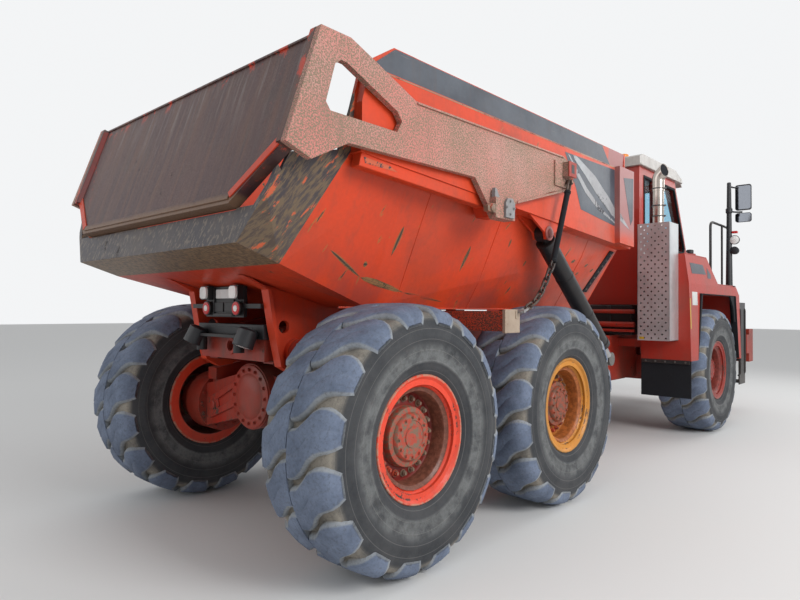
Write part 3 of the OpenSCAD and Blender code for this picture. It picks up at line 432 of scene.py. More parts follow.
flapRubber = plainMaterial("flapRubber", (0.004, 0.005, 0.008), 0.95)
rodChrome = plainMaterial("rodChrome", (0.62, 0.62, 0.63), 0.22, 1.0)
# the warm tint of the exhaust chrome is a painted brownish reflection of its surroundings
pipeChromeWithPaintedReflection = plainMaterial("pipeChromeWithPaintedReflection", (0.44, 0.39, 0.35), 0.24, 1.0)
guardZinc = plainMaterial("guardZinc", (0.56, 0.57, 0.58), 0.42, 0.75, scale=14.0, variation=0.18)
darkPlastic = plainMaterial("darkPlastic", (0.012, 0.013, 0.016), 0.5)
lampGlass = plainMaterial("lampGlass", (0.72, 0.72, 0.7), 0.15)
redLens = plainMaterial("redLens", (0.5, 0.006, 0.008), 0.18, variation=0.1)
amberLens = plainMaterial("amberLens", (0.85, 0.25, 0.01), 0.18, variation=0.1)
mirrorGlass = plainMaterial("mirrorGlass", (0.15, 0.16, 0.18), 0.09, 1.0, depth=0.0, variation=0.02)


# Seat cloth: a fine weave on object coordinates
def clothMaterial():
    material, tree, shader = newMaterial("seatCloth")
    spot = objectSpot(tree)
    across = addNode(tree, "ShaderNodeTexWave", {"Vector": spot, "Scale": 160.0},
        bands_direction="Y").outputs[1]
    along = addNode(tree, "ShaderNodeTexWave", {"Vector": spot, "Scale": 160.0},
        bands_direction="DIAGONAL").outputs[1]
    weave = times(across, along)
    worn = ramp(noise(spot, 6.0, 6.0), 0.4, 0.7)
    base = mixColour(worn, (0.03, 0.03, 0.034), (0.055, 0.053, 0.055))
    tree.links.new(mixColour(times(weave, 0.4), base, (0.1, 0.1, 0.11)), shader.inputs["Base Color"])
    shader.inputs["Roughness"].default_value = 0.9
    shader.inputs["Sheen Weight"].default_value = 0.3
    reliefInto(tree, shader, weave, 0.0008, 0.6)
    return material


seatCloth = clothMaterial()


def glassMaterial():
    material, tree, shader = newMaterial("cabGlass")
    smear = ramp(noise(objectSpot(tree), 5.0, 6.0), 0.35, 0.75)
    tree.links.new(times(smear, 0.12), shader.inputs["Roughness"])
    shader.inputs["Base Color"].default_value = (0.55, 0.74, 0.84, 1.0)
    shader.inputs["Transmission Weight"].default_value = 1.0
    shader.inputs["IOR"].default_value = 1.05
    return material


cabGlass = glassMaterial()


# Tyre: blue-grey lug tops, the blue a painted skylight tint of shade, with pale rubbed edges, browner
# grooves, dark sidewall with a scuffed ring
def tyreMaterial():
    material, tree, shader = newMaterial("tyreRubber")
    spot = objectSpot(tree)
    radius = addNode(tree, "ShaderNodeAttribute", attribute_name="radius").outputs["Fac"]
    tread = addNode(tree, "ShaderNodeAttribute", attribute_name="tread").outputs["Fac"]
    broad = noise(spot, 4.0, 8.0, 0.7)
    fine = noise(spot, 60.0, 5.0, 0.7)
    side = mixColour(ramp(broad, 0.35, 0.65), (0.026, 0.029, 0.034), (0.05, 0.052, 0.056))
    scuffed = times(ramp(radius, 0.445, 0.46), ramp(radius, 0.59, 0.52))
    scuffed = times(scuffed, ramp(noise(spot, 9.0, 8.0, 0.7), 0.3, 0.62))
    side = mixColour(times(scuffed, 0.75), side, (0.165, 0.172, 0.172))
    grooved = mathNode("PINGPONG", radius, 0.031)
    side = mixColour(times(ramp(grooved, 0.0285, 0.0305), 0.4), side, (0.21, 0.205, 0.195))
    groove = mixColour(ramp(broad, 0.35, 0.6), (0.12, 0.112, 0.1), (0.27, 0.245, 0.205))
    shade = mixColour(ramp(radius, 0.69, 0.735), side, groove)
    rubbed = mixColour(ramp(broad, 0.3, 0.7), (0.18, 0.2, 0.225), (0.29, 0.31, 0.33))
    shade = mixColour(ramp(tread, 0.05, 0.3), shade, rubbed)
    # lug tops: the blue is a painted skylight tint of shade on rubber that is nearly neutral grey
    top = mixColour(ramp(broad, 0.3, 0.7), (0.085, 0.11, 0.165), (0.165, 0.205, 0.29))
    shade = mixColour(ramp(tread, 0.55, 0.98), shade, top)
    shade = mixColour(times(ramp(fine, 0.45, 0.75), 0.45), shade, (0.05, 0.045, 0.04))
    tree.links.new(shade, shader.inputs["Base Color"])
    shader.inputs["Roughness"].default_value = 0.86
    reliefInto(tree, shader, plus(fine, times(broad, 2.0)), 0.003, 0.6)
    return material


tyreRubber = tyreMaterial()


# Rims: painted flange with a worn lip, rusty well, dark dish, mottled cap
def rimMaterial(name, flange, lip, well, dish, cap, capSpots):
    material, tree, shader = newMaterial(name)
    spot = objectSpot(tree)
    radius = addNode(tree, "ShaderNodeAttribute", attribute_name="radius").outputs["Fac"]
    group = wornLook(tree, spot, flange, tuple(c * 0.8 for c in flange), bare=(0.055, 0.04, 0.034),
        chips=0.6, chipScale=24.0, scratches=0.1, streaks=0.2, dustAmount=0.15, grime=0.2)
    mottle = noise(spot, 30.0, 8.0, 0.7)
    capShade = mixColour(ramp(mottle, 0.44, 0.56), cap, capSpots)
    wellShade = mixColour(ramp(mottle, 0.4, 0.65), well, tuple(c * 1.8 for c in well))
    inner = mixColour(ramp(radius, 0.181, 0.187), capShade, dish)
    inner = mixColour(ramp(radius, 0.262, 0.27), inner, wellShade)
    shade = mixColour(ramp(radius, 0.3, 0.306), inner, group.outputs["Color"])
    rubbed = times(ramp(radius, 0.362, 0.374), ramp(mottle, 0.38, 0.55))
    shade = mixColour(times(rubbed, 0.8), shade, lip)
    finishPaint(tree, shader, shade, group, 0.1)
    return material


rimRed = rimMaterial("rimRed", (0.86, 0.066, 0.026), (0.4, 0.27, 0.19), (0.125, 0.045, 0.028),
    (0.17, 0.014, 0.01), (0.4, 0.06, 0.035), (0.19, 0.125, 0.085))
rimYellow = rimMaterial("rimYellow", (0.64, 0.25, 0.02), (0.3, 0.17, 0.06), (0.25, 0.075, 0.018),
    (0.36, 0.115, 0.014), (0.28, 0.055, 0.025), (0.14, 0.065, 0.04))
rimDark = rimMaterial("rimDark", (0.3, 0.022, 0.013), (0.2, 0.1, 0.08), (0.14, 0.025, 0.018),
    (0.2, 0.018, 0.012), (0.3, 0.025, 0.016), (0.16, 0.05, 0.04))

nodeMaterials = [(chassisPaint, "rear_frame bogie_beams bogie_axles hitch front_frame front_axle bumper"),
    (beamPaintWithPaintedLight, "outriggers"), (ironGrey, "propshafts powertrain"), (chainIron, "gate_chains"),
    (blackPaint, "tail_box tail_lamps hoist_barrels steer_barrel_left steer_barrel_right steps"),
    (bedPaint, "bed_floor bed_front bed_brackets"), (bedSidePaint, "bed_sides"), (chuteSteel, "bed_chute"),
    (gateSteel, "tailgate"), (armPaint, "tailgate_arms"), (cabPaint, "fenders cab_shell cab_door hood"),
    (rodChrome, "hoist_sleeves hoist_rods steer_rod_left steer_rod_right"), (whitePaint, "cab_roof"),
    (flapRubber, "mudflaps"), (guardZinc, "exhaust_guard"), (pipeChromeWithPaintedReflection, "exhaust_pipe"),
    (seatCloth, "seat"), (cabGlass, "cab_glass door_glass"), (darkPlastic, "dashboard mirrors grille"),
    (lampGlass, "lamps")]
bothSides = (("left", 1), ("right", -1))
wheelPaints = {"rear": rimRed, "middle": rimYellow, "front": rimDark}
for end, rimPaint in wheelPaints.items():
    nodeMaterials += [(tyreRubber, f"tyre_{end}_left tyre_{end}_right"),
        (rimPaint, f"rim_{end}_left rim_{end}_right")]
for material, names in nodeMaterials:
    for name in names.split():
        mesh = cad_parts[name].data
        mesh.materials.clear()
        mesh.materials.append(material)
print("materials set")


def turnsOf(sides):
    return [2 * math.pi * i / sides for i in range(sides)]


# Mesh helpers: each adds one closed form to a bmesh, in places of this truck
def boxInto(form, low, high):
    low, high = place(*low), place(*high)
    corners = [form.verts.new((x, y, z)) for x in (low.x, high.x) for y in (low.y, high.y)
        for z in (low.z, high.z)]
    for face in ((0, 1, 3, 2), (4, 6, 7, 5), (0, 4, 5, 1), (2, 3, 7, 6), (0, 2, 6, 4), (1, 5, 7, 3)):
        form.faces.new([corners[i] for i in face])


def prismInto(form, first, second):
    first = [form.verts.new(point) for point in first]
    second = [form.verts.new(point) for point in second]
    form.faces.new(first)
    form.faces.new(second[::-1])
    for i in range(len(first)):
        j = (i + 1) % len(first)
        form.faces.new((first[j], first[i], second[i], second[j]))


def slabInto(form, outline, y0, y1):  # outline in length and height
    prismInto(form, [place(x, y0, z) for x, z in outline], [place(x, y1, z) for x, z in outline])


def crossInto(form, outline, x0, x1):  # outline in width and height
    prismInto(form, [place(x0, y, z) for y, z in outline], [place(x1, y, z) for y, z in outline])


def ringsInto(form, rings, closed=False):
    rings = [[form.verts.new(point) for point in ring] for ring in rings]
    count = len(rings[0])
    for first, second in zip(rings, rings[1:] + rings[:1] if closed else rings[1:]):
        for i in range(count):
            j = (i + 1) % count
            form.faces.new((first[i], first[j], second[j], second[i]))
    if not closed:
        form.faces.new(rings[0][::-1])
        form.faces.new(rings[-1])


def turnedInto(form, start, along, profile, sides=24, closed=False):  # profile: distance along, radius
    start, along = place(*start), Vector(along).normalized()
    across = along.orthogonal().normalized()
    other = along.cross(across)
    turns = turnsOf(sides)
    rings = [[start + along * reach + (across * math.cos(turn) + other * math.sin(turn)) * radius
        for turn in turns] for reach, radius in profile]
    ringsInto(form, rings, closed)


def pinInto(form, start, along, length, radius, sides=20):
    edge = min(radius, length) * 0.12
    turnedInto(form, start, along, [(0, radius - edge), (edge, radius), (length - edge, radius),
        (length, radius - edge)], sides)


def pipeInto(form, points, radius, sides=12, bend=None):
    points = [place(*point) for point in points]
    bend = bend or radius * 3
    path = [points[0]]
    for before, corner, after in zip(points, points[1:], points[2:]):
        reach = min(bend, (corner - before).length / 2, (after - corner).length / 2)
        start = corner + (before - corner).normalized() * reach
        end = corner + (after - corner).normalized() * reach
        for step in range(6):
            t = step / 5
            path.append(start * (1 - t) ** 2 + corner * 2 * t * (1 - t) + end * t * t)
    path.append(points[-1])
    up = (path[1] - path[0]).orthogonal().normalized()
    rings = []
    for i, point in enumerate(path):
        forward = (path[min(i + 1, len(path) - 1)] - path[max(i - 1, 0)]).normalized()
        up = (up - forward * up.dot(forward)).normalized()
        side = forward.cross(up)
        rings.append([point + (up * math.cos(turn) + side * math.sin(turn)) * radius
            for turn in turnsOf(sides)])
    ringsInto(form, rings)


def meshOf(name, form, smooth=38.0):
    bmesh.ops.remove_doubles(form, verts=form.verts, dist=0.00001)
    bmesh.ops.recalc_face_normals(form, faces=form.faces)
    mesh = bpy.data.meshes.new(name)
    form.to_mesh(mesh)
    form.free()
    mesh.shade_smooth()
    mesh.set_sharp_from_angle(angle=math.radians(smooth))
    return mesh


def newPiece(name, shape, material, body, bevel=0.0, smooth=38.0):
    mesh = shape if isinstance(shape, bpy.types.Mesh) else meshOf(name, shape, smooth)
    mesh.materials.clear()
    mesh.materials.append(material)
    piece = inScene(name, mesh)
    if bevel:
        rounding = piece.modifiers.new("rounding", "BEVEL")
        rounding.width = bevel
        rounding.segments = 2
        rounding.limit_method = "ANGLE"
        rounding.angle_limit = math.radians(40)
    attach(piece, body)
    return piece


def dress(body, rows):  # rows: name, form, material, slot (not used), width of the bevel
    for name, form, material, slotName, bevel in rows:
        newPiece(name, form, material, body, bevel)


# Geometry Nodes helpers
def newTree(name, inputs):
    tree = bpy.data.node_groups.new(name, "GeometryNodeTree")
    for label, kind in (("Geometry", "NodeSocketGeometry"), *inputs, ("Finish", "NodeSocketMaterial")):
        tree.interface.new_socket(label, in_out="INPUT", socket_type=kind)
    tree.interface.new_socket("Geometry", in_out="OUTPUT", socket_type="NodeSocketGeometry")
    return tree, tree.nodes.new("NodeGroupInput").outputs


def finishTree(tree, given, geometry):
    real = outOf(tree, "GeometryNodeRealizeInstances", {0: geometry})
    painted = outOf(tree, "GeometryNodeSetMaterial", {"Geometry": real, "Material": given["Finish"]})
    tree.links.new(painted, tree.nodes.new("NodeGroupOutput").inputs[0])
    return tree


def shapeFrom(source):
    found = addNode(source.id_data, "GeometryNodeObjectInfo", {"Object": source},
        transform_space="ORIGINAL")
    return found.outputs["Geometry"]


def copiesAt(spots, part, turn=(0, 0, 0)):
    return outOf(spots.id_data, "GeometryNodeInstanceOnPoints", {
        "Points": spots, "Instance": shapeFrom(part), "Rotation": turn})


def indexIn(tree):
    return outOf(tree, "GeometryNodeInputIndex")


def spread(tree, **axes):
    return outOf(tree, "ShaderNodeCombineXYZ", axes)


def grownMesh(name, tree, values):
    holder = inScene(name, bpy.data.meshes.new(name))
    grower = holder.modifiers.new("grower", "NODES")
    grower.node_group = tree
    sockets = {item.name: item.identifier for item in tree.interface.items_tree if item.in_out == "INPUT"}
    for label, value in values.items():
        grower[sockets[label]] = value
    bpy.context.view_layer.update()
    graph = bpy.context.evaluated_depsgraph_get()
    mesh = bpy.data.meshes.new_from_object(holder.evaluated_get(graph), depsgraph=graph)
    holder.modifiers.remove(grower)
    bpy.data.objects.remove(holder)
    return mesh


patterns = []  # objects that only the trees use, removed at the end


def patternObject(name, form, smooth=38.0):
    mesh = form if isinstance(form, bpy.types.Mesh) else meshOf(name, form, smooth)
    pattern = inScene(name, mesh)
    patterns.append(pattern)
    return pattern


# Copies of a part in a ring round an axis
def buildRingTree():
    tree, given = newTree("partRing", [
        ("Part", objectSocket), ("Count", countSocket), ("Radius", floatSocket), ("Turn", vectorSocket),
        ("Centre", vectorSocket)])
    circle = outOf(tree, "GeometryNodeMeshCircle", {"Vertices": given["Count"], "Radius": given["Radius"]})
    spin = spread(tree, Z=mathNode("DIVIDE", times(indexIn(tree), 2 * math.pi), given["Count"]))
    real = outOf(tree, "GeometryNodeRealizeInstances", {0: copiesAt(circle, given["Part"], spin)})
    return finishTree(tree, given, outOf(tree, "GeometryNodeTransform", {
        "Geometry": real, "Translation": given["Centre"], "Rotation": given["Turn"]}))


# Copies of a part in even steps along a line
def buildRowTree():
    tree, given = newTree("partRow", [
        ("Part", objectSocket), ("Count", countSocket), ("Start", vectorSocket), ("Step", vectorSocket),
        ("Turn", vectorSocket)])
    line = outOf(tree, "GeometryNodeMeshLine", {
        "Count": given["Count"], "Start Location": given["Start"], "Offset": given["Step"]}, mode="OFFSET")
    return finishTree(tree, given, copiesAt(line, given["Part"], given["Turn"]))


# Carcass with lugs of both sides round it, one side half a step on
def buildTyreTree():
    tree, given = newTree("luggedTyre", [
        ("Carcass", objectSocket), ("First Lug", objectSocket), ("Second Lug", objectSocket),
        ("Count", countSocket), ("Centre", vectorSocket)])
    spots = outOf(tree, "GeometryNodePoints", {"Count": given["Count"]})
    joined = tree.nodes.new("GeometryNodeJoinGeometry")
    tree.links.new(shapeFrom(given["Carcass"]), joined.inputs[0])
    for lug, shift in (("First Lug", 0.0), ("Second Lug", 0.5)):
        steps = times(plus(indexIn(tree), shift), 2 * math.pi)
        spin = spread(tree, Y=mathNode("DIVIDE", steps, given["Count"]))
        tree.links.new(copiesAt(spots, given[lug], spin), joined.inputs[0])
    real = outOf(tree, "GeometryNodeRealizeInstances", {0: joined.outputs[0]})
    return finishTree(tree, given, outOf(tree, "GeometryNodeTransform", {
        "Geometry": real, "Translation": given["Centre"]}))


# Links along a route, every second one turned a quarter
def buildChainTree():
    tree, given = newTree("linkedChain", [("Route", objectSocket), ("Link", objectSocket),
        ("Pitch", floatSocket)])
    spots = addNode(tree, "GeometryNodeCurveToPoints", {
        "Curve": shapeFrom(given["Route"]), "Length": given["Pitch"]}, mode="LENGTH").outputs
    quarter = times(mathNode("MODULO", indexIn(tree), 2.0), math.pi / 2)
    aimed = outOf(tree, "FunctionNodeAlignRotationToVector", {"Vector": spots["Tangent"]}, axis="X",
        pivot_axis="Y")
    twist = outOf(tree, "FunctionNodeAxisAngleToRotation", {"Axis": (1, 0, 0), "Angle": quarter})
    turned = outOf(tree, "FunctionNodeRotateRotation", {"Rotation": aimed, "Rotate By": twist},
        rotation_space="LOCAL")
    return finishTree(tree, given, copiesAt(spots["Points"], given["Link"], turned))


# Holed tiles laid like bricks, in a sheet that stands across the truck
def buildSheetTree():
    tree, given = newTree("holedSheet", [
        ("Tile", objectSocket), ("Columns", countSocket), ("Rows", countSocket), ("Wide", floatSocket),
        ("High", floatSocket), ("Corner", vectorSocket)])
    spots = outOf(tree, "GeometryNodePoints", {"Count": times(given["Columns"], given["Rows"])})
    index = indexIn(tree)
    row = mathNode("FLOOR", mathNode("DIVIDE", plus(index, 0.5), given["Columns"]))
    column = mathNode("SUBTRACT", index, times(row, given["Columns"]))
    column = plus(column, times(mathNode("MODULO", row, 2.0), 0.5))
    spot = spread(tree, Y=times(column, given["Wide"]), Z=times(row, given["High"]))
    spot = outOf(tree, "ShaderNodeVectorMath", {0: spot, 1: given["Corner"]}, operation="ADD")
    laid = outOf(tree, "GeometryNodeSetPosition", {"Geometry": spots, "Position": spot})
    return finishTree(tree, given, copiesAt(laid, given["Tile"]))


ringTree, rowTree, tyreTree, chainTree, sheetTree = (
    buildRingTree(), buildRowTree(), buildTyreTree(), buildChainTree(), buildSheetTree())


# A bolt head with its washer, standing along z
def boltPattern(name, radius, height):
    form = bmesh.new()
    turns = turnsOf(12)
    washer = [(math.cos(turn) * radius * 1.35, math.sin(turn) * radius * 1.35) for turn in turns]
    prismInto(form, [(x, y, -0.002) for x, y in washer], [(x, y, height * 0.25) for x, y in washer])
    head = [(math.cos(turn) * radius, math.sin(turn) * radius) for turn in turns[::2]]
    prismInto(form, [(x, y, 0.0) for x, y in head], [(x * 0.92, y * 0.92, height) for x, y in head])
    stud = [(x * 0.45, y * 0.45) for x, y in washer]
    prismInto(form, [(x, y, 0.0) for x, y in stud], [(x, y, height * 1.35) for x, y in stud])
    return patternObject(name, form)


smallBolt, hubBolt, wheelNut = (boltPattern("smallBolt", 0.009, 0.008),
    boltPattern("hubBolt", 0.013, 0.014), boltPattern("wheelNut", 0.017, 0.022))
acrossRight, acrossLeft, towardsBack = (math.pi / 2, 0, 0), (-math.pi / 2, 0, 0), (0, -math.pi / 2, 0)


def boltRing(name, bolt, centre, turn, radius, count, material, body):
    mesh = grownMesh(name, ringTree, {"Part": bolt, "Count": count, "Radius": radius, "Turn": turn,
        "Centre": place(*centre), "Finish": material})
    return newPiece(name, mesh, material, body)


def mirrored(point, side):
    return point[0], point[1] * side, point[2]


def boltRings(name, bolt, spot, radius, count, material, body, inward=False):  # one on each side
    for sideName, side in bothSides:
        turn = acrossLeft if (side > 0) != inward else acrossRight
        boltRing(f"{name}_{sideName}", bolt, mirrored(spot, side), turn, radius, count, material, body)


def boltRow(name, bolt, start, step, turn, count, material, body):
    mesh = grownMesh(name, rowTree, {"Part": bolt, "Count": count, "Start": place(*start), "Step": step,
        "Turn": turn, "Finish": material})
    return newPiece(name, mesh, material, body)


print("helpers ready")


# Tyres
tyreShape = {
    "radius": 0.7995, "lugs": 16, "segments": 128,
    # radius and place across of the carcass, from the bead to the middle of the tread
    "carcass": [
        (0.3185, 0.15), (0.3185, 0.228), (0.372, 0.232), (0.386, 0.247), (0.403, 0.262), (0.43, 0.272),
        (0.449, 0.277), (0.454, 0.2815), (0.464, 0.283), (0.469, 0.281), (0.52, 0.29), (0.575, 0.2955),
        (0.58, 0.2985), (0.612, 0.2995), (0.618, 0.297), (0.665, 0.296), (0.7, 0.289), (0.725, 0.278),
        (0.738, 0.262), (0.746, 0.235), (0.752, 0.16), (0.756, 0.06)],
    # a lug from the middle outwards: place across and radius of its top, of its foot, and its two edges
    "lugRows": [
        (0.004, 0.799, 0.004, 0.75, 0.02, 0.292), (0.06, 0.7995, 0.06, 0.75, 0.004, 0.276),
        (0.11, 0.7985, 0.11, 0.75, -0.04, 0.236), (0.155, 0.796, 0.155, 0.746, -0.092, 0.172),
        (0.2, 0.7905, 0.2, 0.742, -0.12, 0.134), (0.24, 0.779, 0.236, 0.736, -0.128, 0.118),
        (0.27, 0.759, 0.258, 0.726, -0.124, 0.11), (0.288, 0.73, 0.271, 0.712, -0.112, 0.098),
        (0.2985, 0.69, 0.284, 0.688, -0.086, 0.078)],
    "edge": 0.022, "edgeDrop": 0.004,
}


def storeValue(mesh, name, values):
    layer = mesh.attributes.new(name, "FLOAT", "POINT")
    layer.data.foreach_set("value", values)


def storeRadius(mesh):
    storeValue(mesh, "radius", [math.hypot(v.co.x, v.co.z) for v in mesh.vertices])


def wheelRound(profile, segments):  # a closed profile of radius and place across, turned round the y axis
    form = bmesh.new()
    ringsInto(form, [[(radius * math.cos(turn), across, radius * math.sin(turn))
        for turn in turnsOf(segments)] for radius, across in profile], closed=True)
    return form


def carcassPattern(shape):
    half = shape["carcass"]
    profile = half + [(radius, -across) for radius, across in half[::-1]]
    mesh = meshOf("tyreCarcass", wheelRound(profile, shape["segments"]), 50)
    storeRadius(mesh)
    storeValue(mesh, "tread", [0.0] * len(mesh.vertices))
    return patternObject("tyreCarcass", mesh)


def lugPattern(shape, name, side):
    form = bmesh.new()
    layer = form.verts.layers.float.new("tread")
    edge, drop = shape["edge"], shape["edgeDrop"]

    def spot(around, across, radius):
        turn = side * around / shape["radius"]
        return (radius * math.sin(turn), across * side, radius * math.cos(turn))

    rings = []
    for across, top, footAcross, foot, start, end in shape["lugRows"]:
        middle = (start + end) / 2
        row = [(start - 0.01, footAcross, foot, 0.0), (start, across, top - drop - 0.012, 0.3),
            (start + edge, across, top, 1.0), (middle - 0.01, across, top, 1.0),
            (middle, across, top - drop, 0.9), (middle + 0.01, across, top, 1.0),
            (end - edge, across, top, 1.0), (end, across, top - drop - 0.012, 0.3),
            (end + 0.01, footAcross, foot, 0.0)]
        ring = []
        for around, where, radius, tread in row:
            vertex = form.verts.new(spot(around, where, radius))
            vertex[layer] = tread
            ring.append(vertex)
        rings.append(ring)
    for first, second in zip(rings, rings[1:]):
        for i in range(len(first)):
            j = (i + 1) % len(first)
            form.faces.new((first[i], first[j], second[j], second[i]))
    form.faces.new(rings[0][::-1])
    form.faces.new(rings[-1])
    mesh = meshOf(name, form, 50)
    storeRadius(mesh)
    return patternObject(name, mesh)


tyreParts = (carcassPattern(tyreShape), lugPattern(tyreShape, "firstLug", 1),
    lugPattern(tyreShape, "secondLug", -1))

# Rims
rimShape = {
    "segments": 96,
    # radius and place outwards, from the middle of the hub cap out over the flange and back inside
    "profile": [
        (0.002, 0.1745), (0.06, 0.1745), (0.064, 0.168), (0.096, 0.168), (0.1, 0.173), (0.132, 0.171),
        (0.142, 0.162), (0.148, 0.148), (0.176, 0.143), (0.181, 0.134), (0.182, 0.098), (0.19, 0.092),
        (0.235, 0.09), (0.258, 0.088), (0.266, 0.096), (0.27, 0.115), (0.272, 0.178), (0.278, 0.19),
        (0.297, 0.199), (0.302, 0.206), (0.306, 0.199), (0.311, 0.204), (0.318, 0.214), (0.332, 0.222),
        (0.346, 0.23), (0.357, 0.24), (0.366, 0.248), (0.376, 0.25), (0.38, 0.245), (0.38, 0.236),
        (0.372, 0.2335), (0.3178, 0.2335), (0.3178, -0.2335), (0.372, -0.2335), (0.38, -0.236),
        (0.38, -0.246), (0.372, -0.25), (0.3, -0.248), (0.29, -0.2), (0.29, 0.045), (0.071, 0.045),
        (0.071, 0.118), (0.002, 0.118)],
    "capBolts": (0.118, 0.172, 12), "wheelNuts": (0.224, 0.09, 20),
}


def rimMesh(shape, side, centre):
    mesh = meshOf("rim", wheelRound([(radius, across * side) for radius, across in shape["profile"]],
        shape["segments"]), 30)
    storeRadius(mesh)
    mesh.transform(Matrix.Translation(centre))
    return mesh


for end, axleX in (("rear", rearAxle), ("middle", middleAxle), ("front", frontAxle)):
    for sideName, side in bothSides:
        wheel, paint = f"wheel_{end}_{sideName}", wheelPaints[end]
        centre = Vector((axleX, wheelY * side, wheelZ))
        tyre = grownMesh("tyre", tyreTree, {
            "Carcass": tyreParts[0], "First Lug": tyreParts[1], "Second Lug": tyreParts[2],
            "Count": tyreShape["lugs"], "Centre": centre, "Finish": tyreRubber})
        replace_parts(newPiece(f"luggedTyre_{end}_{sideName}", tyre, tyreRubber, wheel),
            f"tyre_{end}_{sideName}")
        rim = newPiece(f"flangedRim_{end}_{sideName}", rimMesh(rimShape, side, centre), paint, wheel)
        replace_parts(rim, f"rim_{end}_{sideName}")
        turn = acrossLeft if side > 0 else acrossRight
        for label, bolt, (radius, out, count) in (("capBolts", smallBolt, rimShape["capBolts"]),
                ("wheelNuts", wheelNut, rimShape["wheelNuts"])):
            boltRing(f"{label}_{end}_{sideName}", bolt, (axleX - rearAxle, (wheelY + out) * side, wheelZ),
                turn, radius, count, paint if label == "capBolts" else rustCap, wheel)
print("wheels made")


# Bed: band with pointed bars, gouges, painted highlight along the ledge, rails under the panels, seams, ribs
bedShape = {
    "panelY": 1.335, "upperY": 1.28, "postY": 1.385, "skin": 0.0014,
    "upperBand": [(-0.345, 2.925), (-0.118, 3.098), (-0.1, 3.104), (2.74, 3.122), (2.93, 2.95)],
    "lowerBand": [(1.9, 2.885), (2.895, 2.908), (2.895, 2.37), (2.19, 2.44), (2.1, 2.61)],
    "bars": [[(2.04, 2.885), (2.11, 2.887), (2.46, 2.78), (2.77, 2.62), (2.895, 2.541), (2.895, 2.437),
        (2.79, 2.48), (2.53, 2.6), (2.27, 2.75), (2.07, 2.85)], [(1.95, 2.88), (1.99, 2.868), (2.15, 2.75),
        (2.31, 2.64), (2.58, 2.51), (2.895, 2.409), (2.895, 2.394), (2.53, 2.48), (2.27, 2.6),
        (2.06, 2.76)]],
    "postMark": [(2.985, 2.838), (3.22, 2.868), (3.205, 2.46), (3.15, 2.4)],
    "postBar": [(2.906, 2.492), (3.13, 2.352), (2.906, 2.42)],
    "railSlot": [(-0.405, 2.4), (-0.2, 2.386), (-0.13, 2.36), (-0.395, 2.366)],
    "scars": [(-0.4, 0.42, -0.06, 0.24, 0.008), (-0.06, 0.24, 0.4, 0.14, 0.013),
        (0.4, 0.14, 0.86, 0.07, 0.008), (0.2, 0.66, 0.17, 0.42, 0.011), (0.95, 0.62, 0.92, 0.37, 0.011),
        (1.42, 0.77, 1.42, 0.68, 0.007), (1.74, 0.59, 1.72, 0.52, 0.007), (2.54, 0.52, 2.53, 0.47, 0.009),
        (2.48, 0.68, 2.54, 0.72, 0.013), (2.78, 0.66, 2.83, 0.71, 0.015), (2.95, 0.6, 2.99, 0.66, 0.015),
        (2.69, 0.53, 2.73, 0.57, 0.012), (-0.07, 0.34, -0.03, 0.34, 0.012)],
    "ledge": [(-0.3, 2.903), (-0.3, 2.911), (2.89, 2.936), (2.89, 2.928)],
    "kneeRail": [(-0.42, 2.428), (0.745, 2.345), (0.745, 2.27), (-0.44, 2.345)],
    "seams": (0.35, 1.2, 2.62), "seamRadius": 0.005, "frontX": 3.27, "floorZ": 1.57, "kneeY": 1.2,
    "ribs": (-1.0, -0.5, 0.0, 0.5, 1.0), "rubberStrip": ((3.06, 0.3), (3.16, 0.96)), "stripWidth": 0.085,
}


def kneeAt(x):
    return 2.385 - (x - 0.1) * 0.0647


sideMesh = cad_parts["bed_sides"].data
sideSurface = BVHTree.FromPolygons([v.co for v in sideMesh.vertices], [p.vertices
    for p in sideMesh.polygons])


def slopeSpot(x, share, out=0.0):  # on the sloped left side, from the floor's edge to the knee
    floorY = 0.84 - (x - 0.1) * 0.00315
    low, high = Vector((floorY, bedShape["floorZ"])), Vector((bedShape["kneeY"], kneeAt(x)))
    flat = low.lerp(high, share)
    away = Vector((0, high.y - low.y, low.x - high.x)).normalized()
    spot = place(x, flat.x, flat.y)
    found = sideSurface.ray_cast(spot + away * 0.15, -away, 0.25)[0] if 0.02 < share < 0.98 else None
    spot = (found or spot) + away * out - place(0, 0, 0)
    return tuple(spot)


def skins(name, outlines, depth, layer, material):
    form = bmesh.new()
    skin = bedShape["skin"]
    for side in (-1, 1):
        for outline in outlines:
            slabInto(form, outline, (depth + skin * (layer - 1) - 0.002) * side,
                (depth + skin * layer) * side)
    return newPiece(name, form, material, "bed")


skins("bandAboveLedge", [bedShape["upperBand"]], bedShape["upperY"], 1, bandPaint)
skins("bandOnPanel", [bedShape["lowerBand"]], bedShape["panelY"], 1, bandPaint)
skins("bandBars", bedShape["bars"], bedShape["panelY"], 2, stripePaint)
skins("postMarks", [bedShape["postMark"]], bedShape["postY"], 1, bandPaint)
skins("postBars", [bedShape["postBar"]], bedShape["postY"], 1, stripePaint)
# dark skin at the rail's rear end: the slot's opening drawn as painted shade, with dirt
skins("railSlots", [bedShape["railSlot"]], 1.325, 1, chuteSteel)
# The thin beige skin along the ledge edge is a painted highlight where the edge catches the light, given a
# chipped texture
paintedLedgeHighlight = paintMaterial("paintedLedgeHighlight", (0.34, 0.26, 0.16), (0.42, 0.14, 0.09), chips=0.8, chipScale=18.0)
skins("ledgeLines", [bedShape["ledge"]], bedShape["panelY"], 1, paintedLedgeHighlight)


def scarInto(form, x0, share0, x1, share1, wide, out):  # a long gouge on the right slope
    rise = 0.88  # height of the slope
    run = Vector((x1 - x0, (share1 - share0) * rise))
    across = Vector((-run.y, run.x)).normalized() * wide
    spots = []
    for part, lift in ((0, 0), (0.12, 0.7), (0.35, 1), (0.7, 0.75), (1, 0), (0.8, -0.7), (0.45, -1),
            (0.1, -0.6)):
        moved = run * part + across * lift
        spots.append((x0 + moved.x, share0 + moved.y / rise))
    prismInto(form, [place(*mirrored(slopeSpot(x, share, -0.002), -1)) for x, share in spots],
        [place(*mirrored(slopeSpot(x, share, out), -1)) for x, share in spots])


